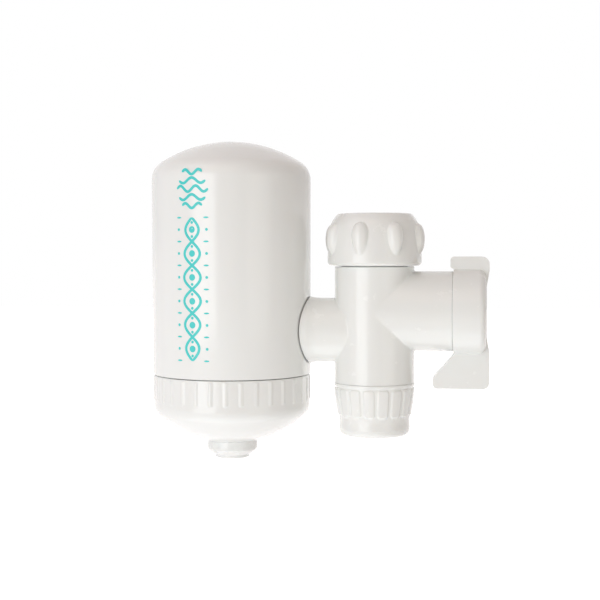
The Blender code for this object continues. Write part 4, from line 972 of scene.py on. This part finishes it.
print("floor and light")
studio = {"floorDrop": 300.0, "floorSize": 12.0, "floorColour": (0.8, 0.8, 0.8), "floorGlow": 0.9,
          "lowFront": (0.69, 0.675, 0.63), "highFront": (0.10, 0.095, 0.09),
          "lowBack": (0.04, 0.04, 0.04), "highBack": (0.84, 0.73, 0.72), "aim": (-0.028, 0, -0.022)}
lampKeys = ("turn", "rise", "away", "size", "power", "colour")     # degrees from the camera, metres, watts
lamps = {
    "leftTall": (-38, -5, 0.75, (0.45, 0.70), 2.46, (0.93, 0.975, 1)),
    "leftEdge": (-90, 0, 0.75, (0.60, 0.70), 0.28, (0.92, 0.99, 1)),
    "leftHigh": (-60, 40, 0.70, (0.50, 0.50), 0.54, (1, 0.92, 0.96)),
    "frontHigh": (-20, 45, 0.70, (0.50, 0.50), 0.37, (1, 0.77, 0.63)),
    "rightHigh": (15, 45, 0.70, (0.50, 0.50), 0.23, (1, 0.83, 0.71)),
    "rightTall": (40, -5, 0.75, (0.45, 0.70), 0.76, (0.99, 1, 0.91)),
    "below": (-6, -75, 0.26, (0.44, 0.20), 0.27, (0.93, 0.985, 1)),
}


def plainRays(tree):
    # 1 for rays that meet plain white: straight from the camera, mirrored, or through glass
    path = nodeIn(tree, "ShaderNodeLightPath")
    seen = path.outputs["Is Camera Ray"]
    for kind in ("Is Glossy Ray", "Is Transmission Ray"):
        seen = nodeIn(tree, "ShaderNodeMath", {0: seen, 1: path.outputs[kind]}, operation="MAXIMUM").outputs["Value"]
    return seen


def addFloor(s):
    # catches the shadow, glows white for plain rays, and is clear from below
    selectNothing()
    bpy.ops.mesh.primitive_grid_add(x_subdivisions=8, y_subdivisions=8, size=s["floorSize"],
                                    location=(-0.03, 0, -s["floorDrop"] * mm))
    floor = settle(bpy.context.object)
    floor.name = "studioFloor"
    made = bpy.data.materials.new("paleFloor")
    made.use_nodes = True
    tree = made.node_tree
    tree.nodes.clear()
    paint = nodeIn(tree, "ShaderNodeBsdfDiffuse", {"Color": (*s["floorColour"], 1)})
    strength = nodeIn(tree, "ShaderNodeMath", {0: plainRays(tree), 1: s["floorGlow"]}, operation="MULTIPLY")
    glow = nodeIn(tree, "ShaderNodeEmission", {"Strength": strength.outputs["Value"]})
    total = nodeIn(tree, "ShaderNodeAddShader", {0: paint.outputs["BSDF"], 1: glow.outputs["Emission"]})
    clear = nodeIn(tree, "ShaderNodeBsdfTransparent")
    under = nodeIn(tree, "ShaderNodeNewGeometry").outputs["Backfacing"]
    front = nodeIn(tree, "ShaderNodeMixShader", {"Fac": under, 1: total.outputs["Shader"], 2: clear.outputs["BSDF"]})
    nodeIn(tree, "ShaderNodeOutputMaterial", {"Surface": front.outputs["Shader"]})
    floor.data.materials.append(made)


def addWorld(s):
    # a soft room of four colours, blended from low to high and from front to back, behind the plain white
    world = bpy.data.worlds.new("studioAir")
    world.use_nodes = True
    scene.world = world
    tree = world.node_tree
    tree.nodes.clear()
    coord = nodeIn(tree, "ShaderNodeTexCoord")
    parts = nodeIn(tree, "ShaderNodeSeparateXYZ", {"Vector": coord.outputs["Generated"]})
    back, rise = (spread(tree, parts.outputs[axis], -1, 1) for axis in "YZ")
    front, rear = (blend(tree, rise, (*s["low" + side], 1), (*s["high" + side], 1)) for side in ("Front", "Back"))
    air = nodeIn(tree, "ShaderNodeBackground", {"Color": blend(tree, back, front, rear)})
    white = nodeIn(tree, "ShaderNodeBackground", {"Color": (1, 1, 1, 1)})
    both = nodeIn(tree, "ShaderNodeMixShader", {"Fac": plainRays(tree), 1: air.outputs["Background"],
                                                2: white.outputs["Background"]})
    nodeIn(tree, "ShaderNodeOutputWorld", {"Surface": both.outputs["Shader"]})


def addLamps(rows):
    aim = Vector(studio["aim"])
    for name, values in rows.items():
        row = dict(zip(lampKeys, values))
        a, e = radians(photoView["azimuth"] + row["turn"]), radians(row["rise"])
        place = aim + Vector((sin(a) * cos(e), -cos(a) * cos(e), sin(e))) * row["away"]
        bpy.ops.object.light_add(type="AREA", location=place)
        lamp = bpy.context.object
        lamp.name = lamp.data.name = name
        lamp.rotation_euler = (aim - place).to_track_quat("-Z", "Y").to_euler()
        lamp.data.shape = "RECTANGLE"
        lamp.data.size, lamp.data.size_y = row["size"]
        lamp.data.energy = row["power"]
        lamp.data.color = row["colour"]
        lamp.visible_camera = False


addFloor(studio)
addWorld(studio)
addLamps(lamps)
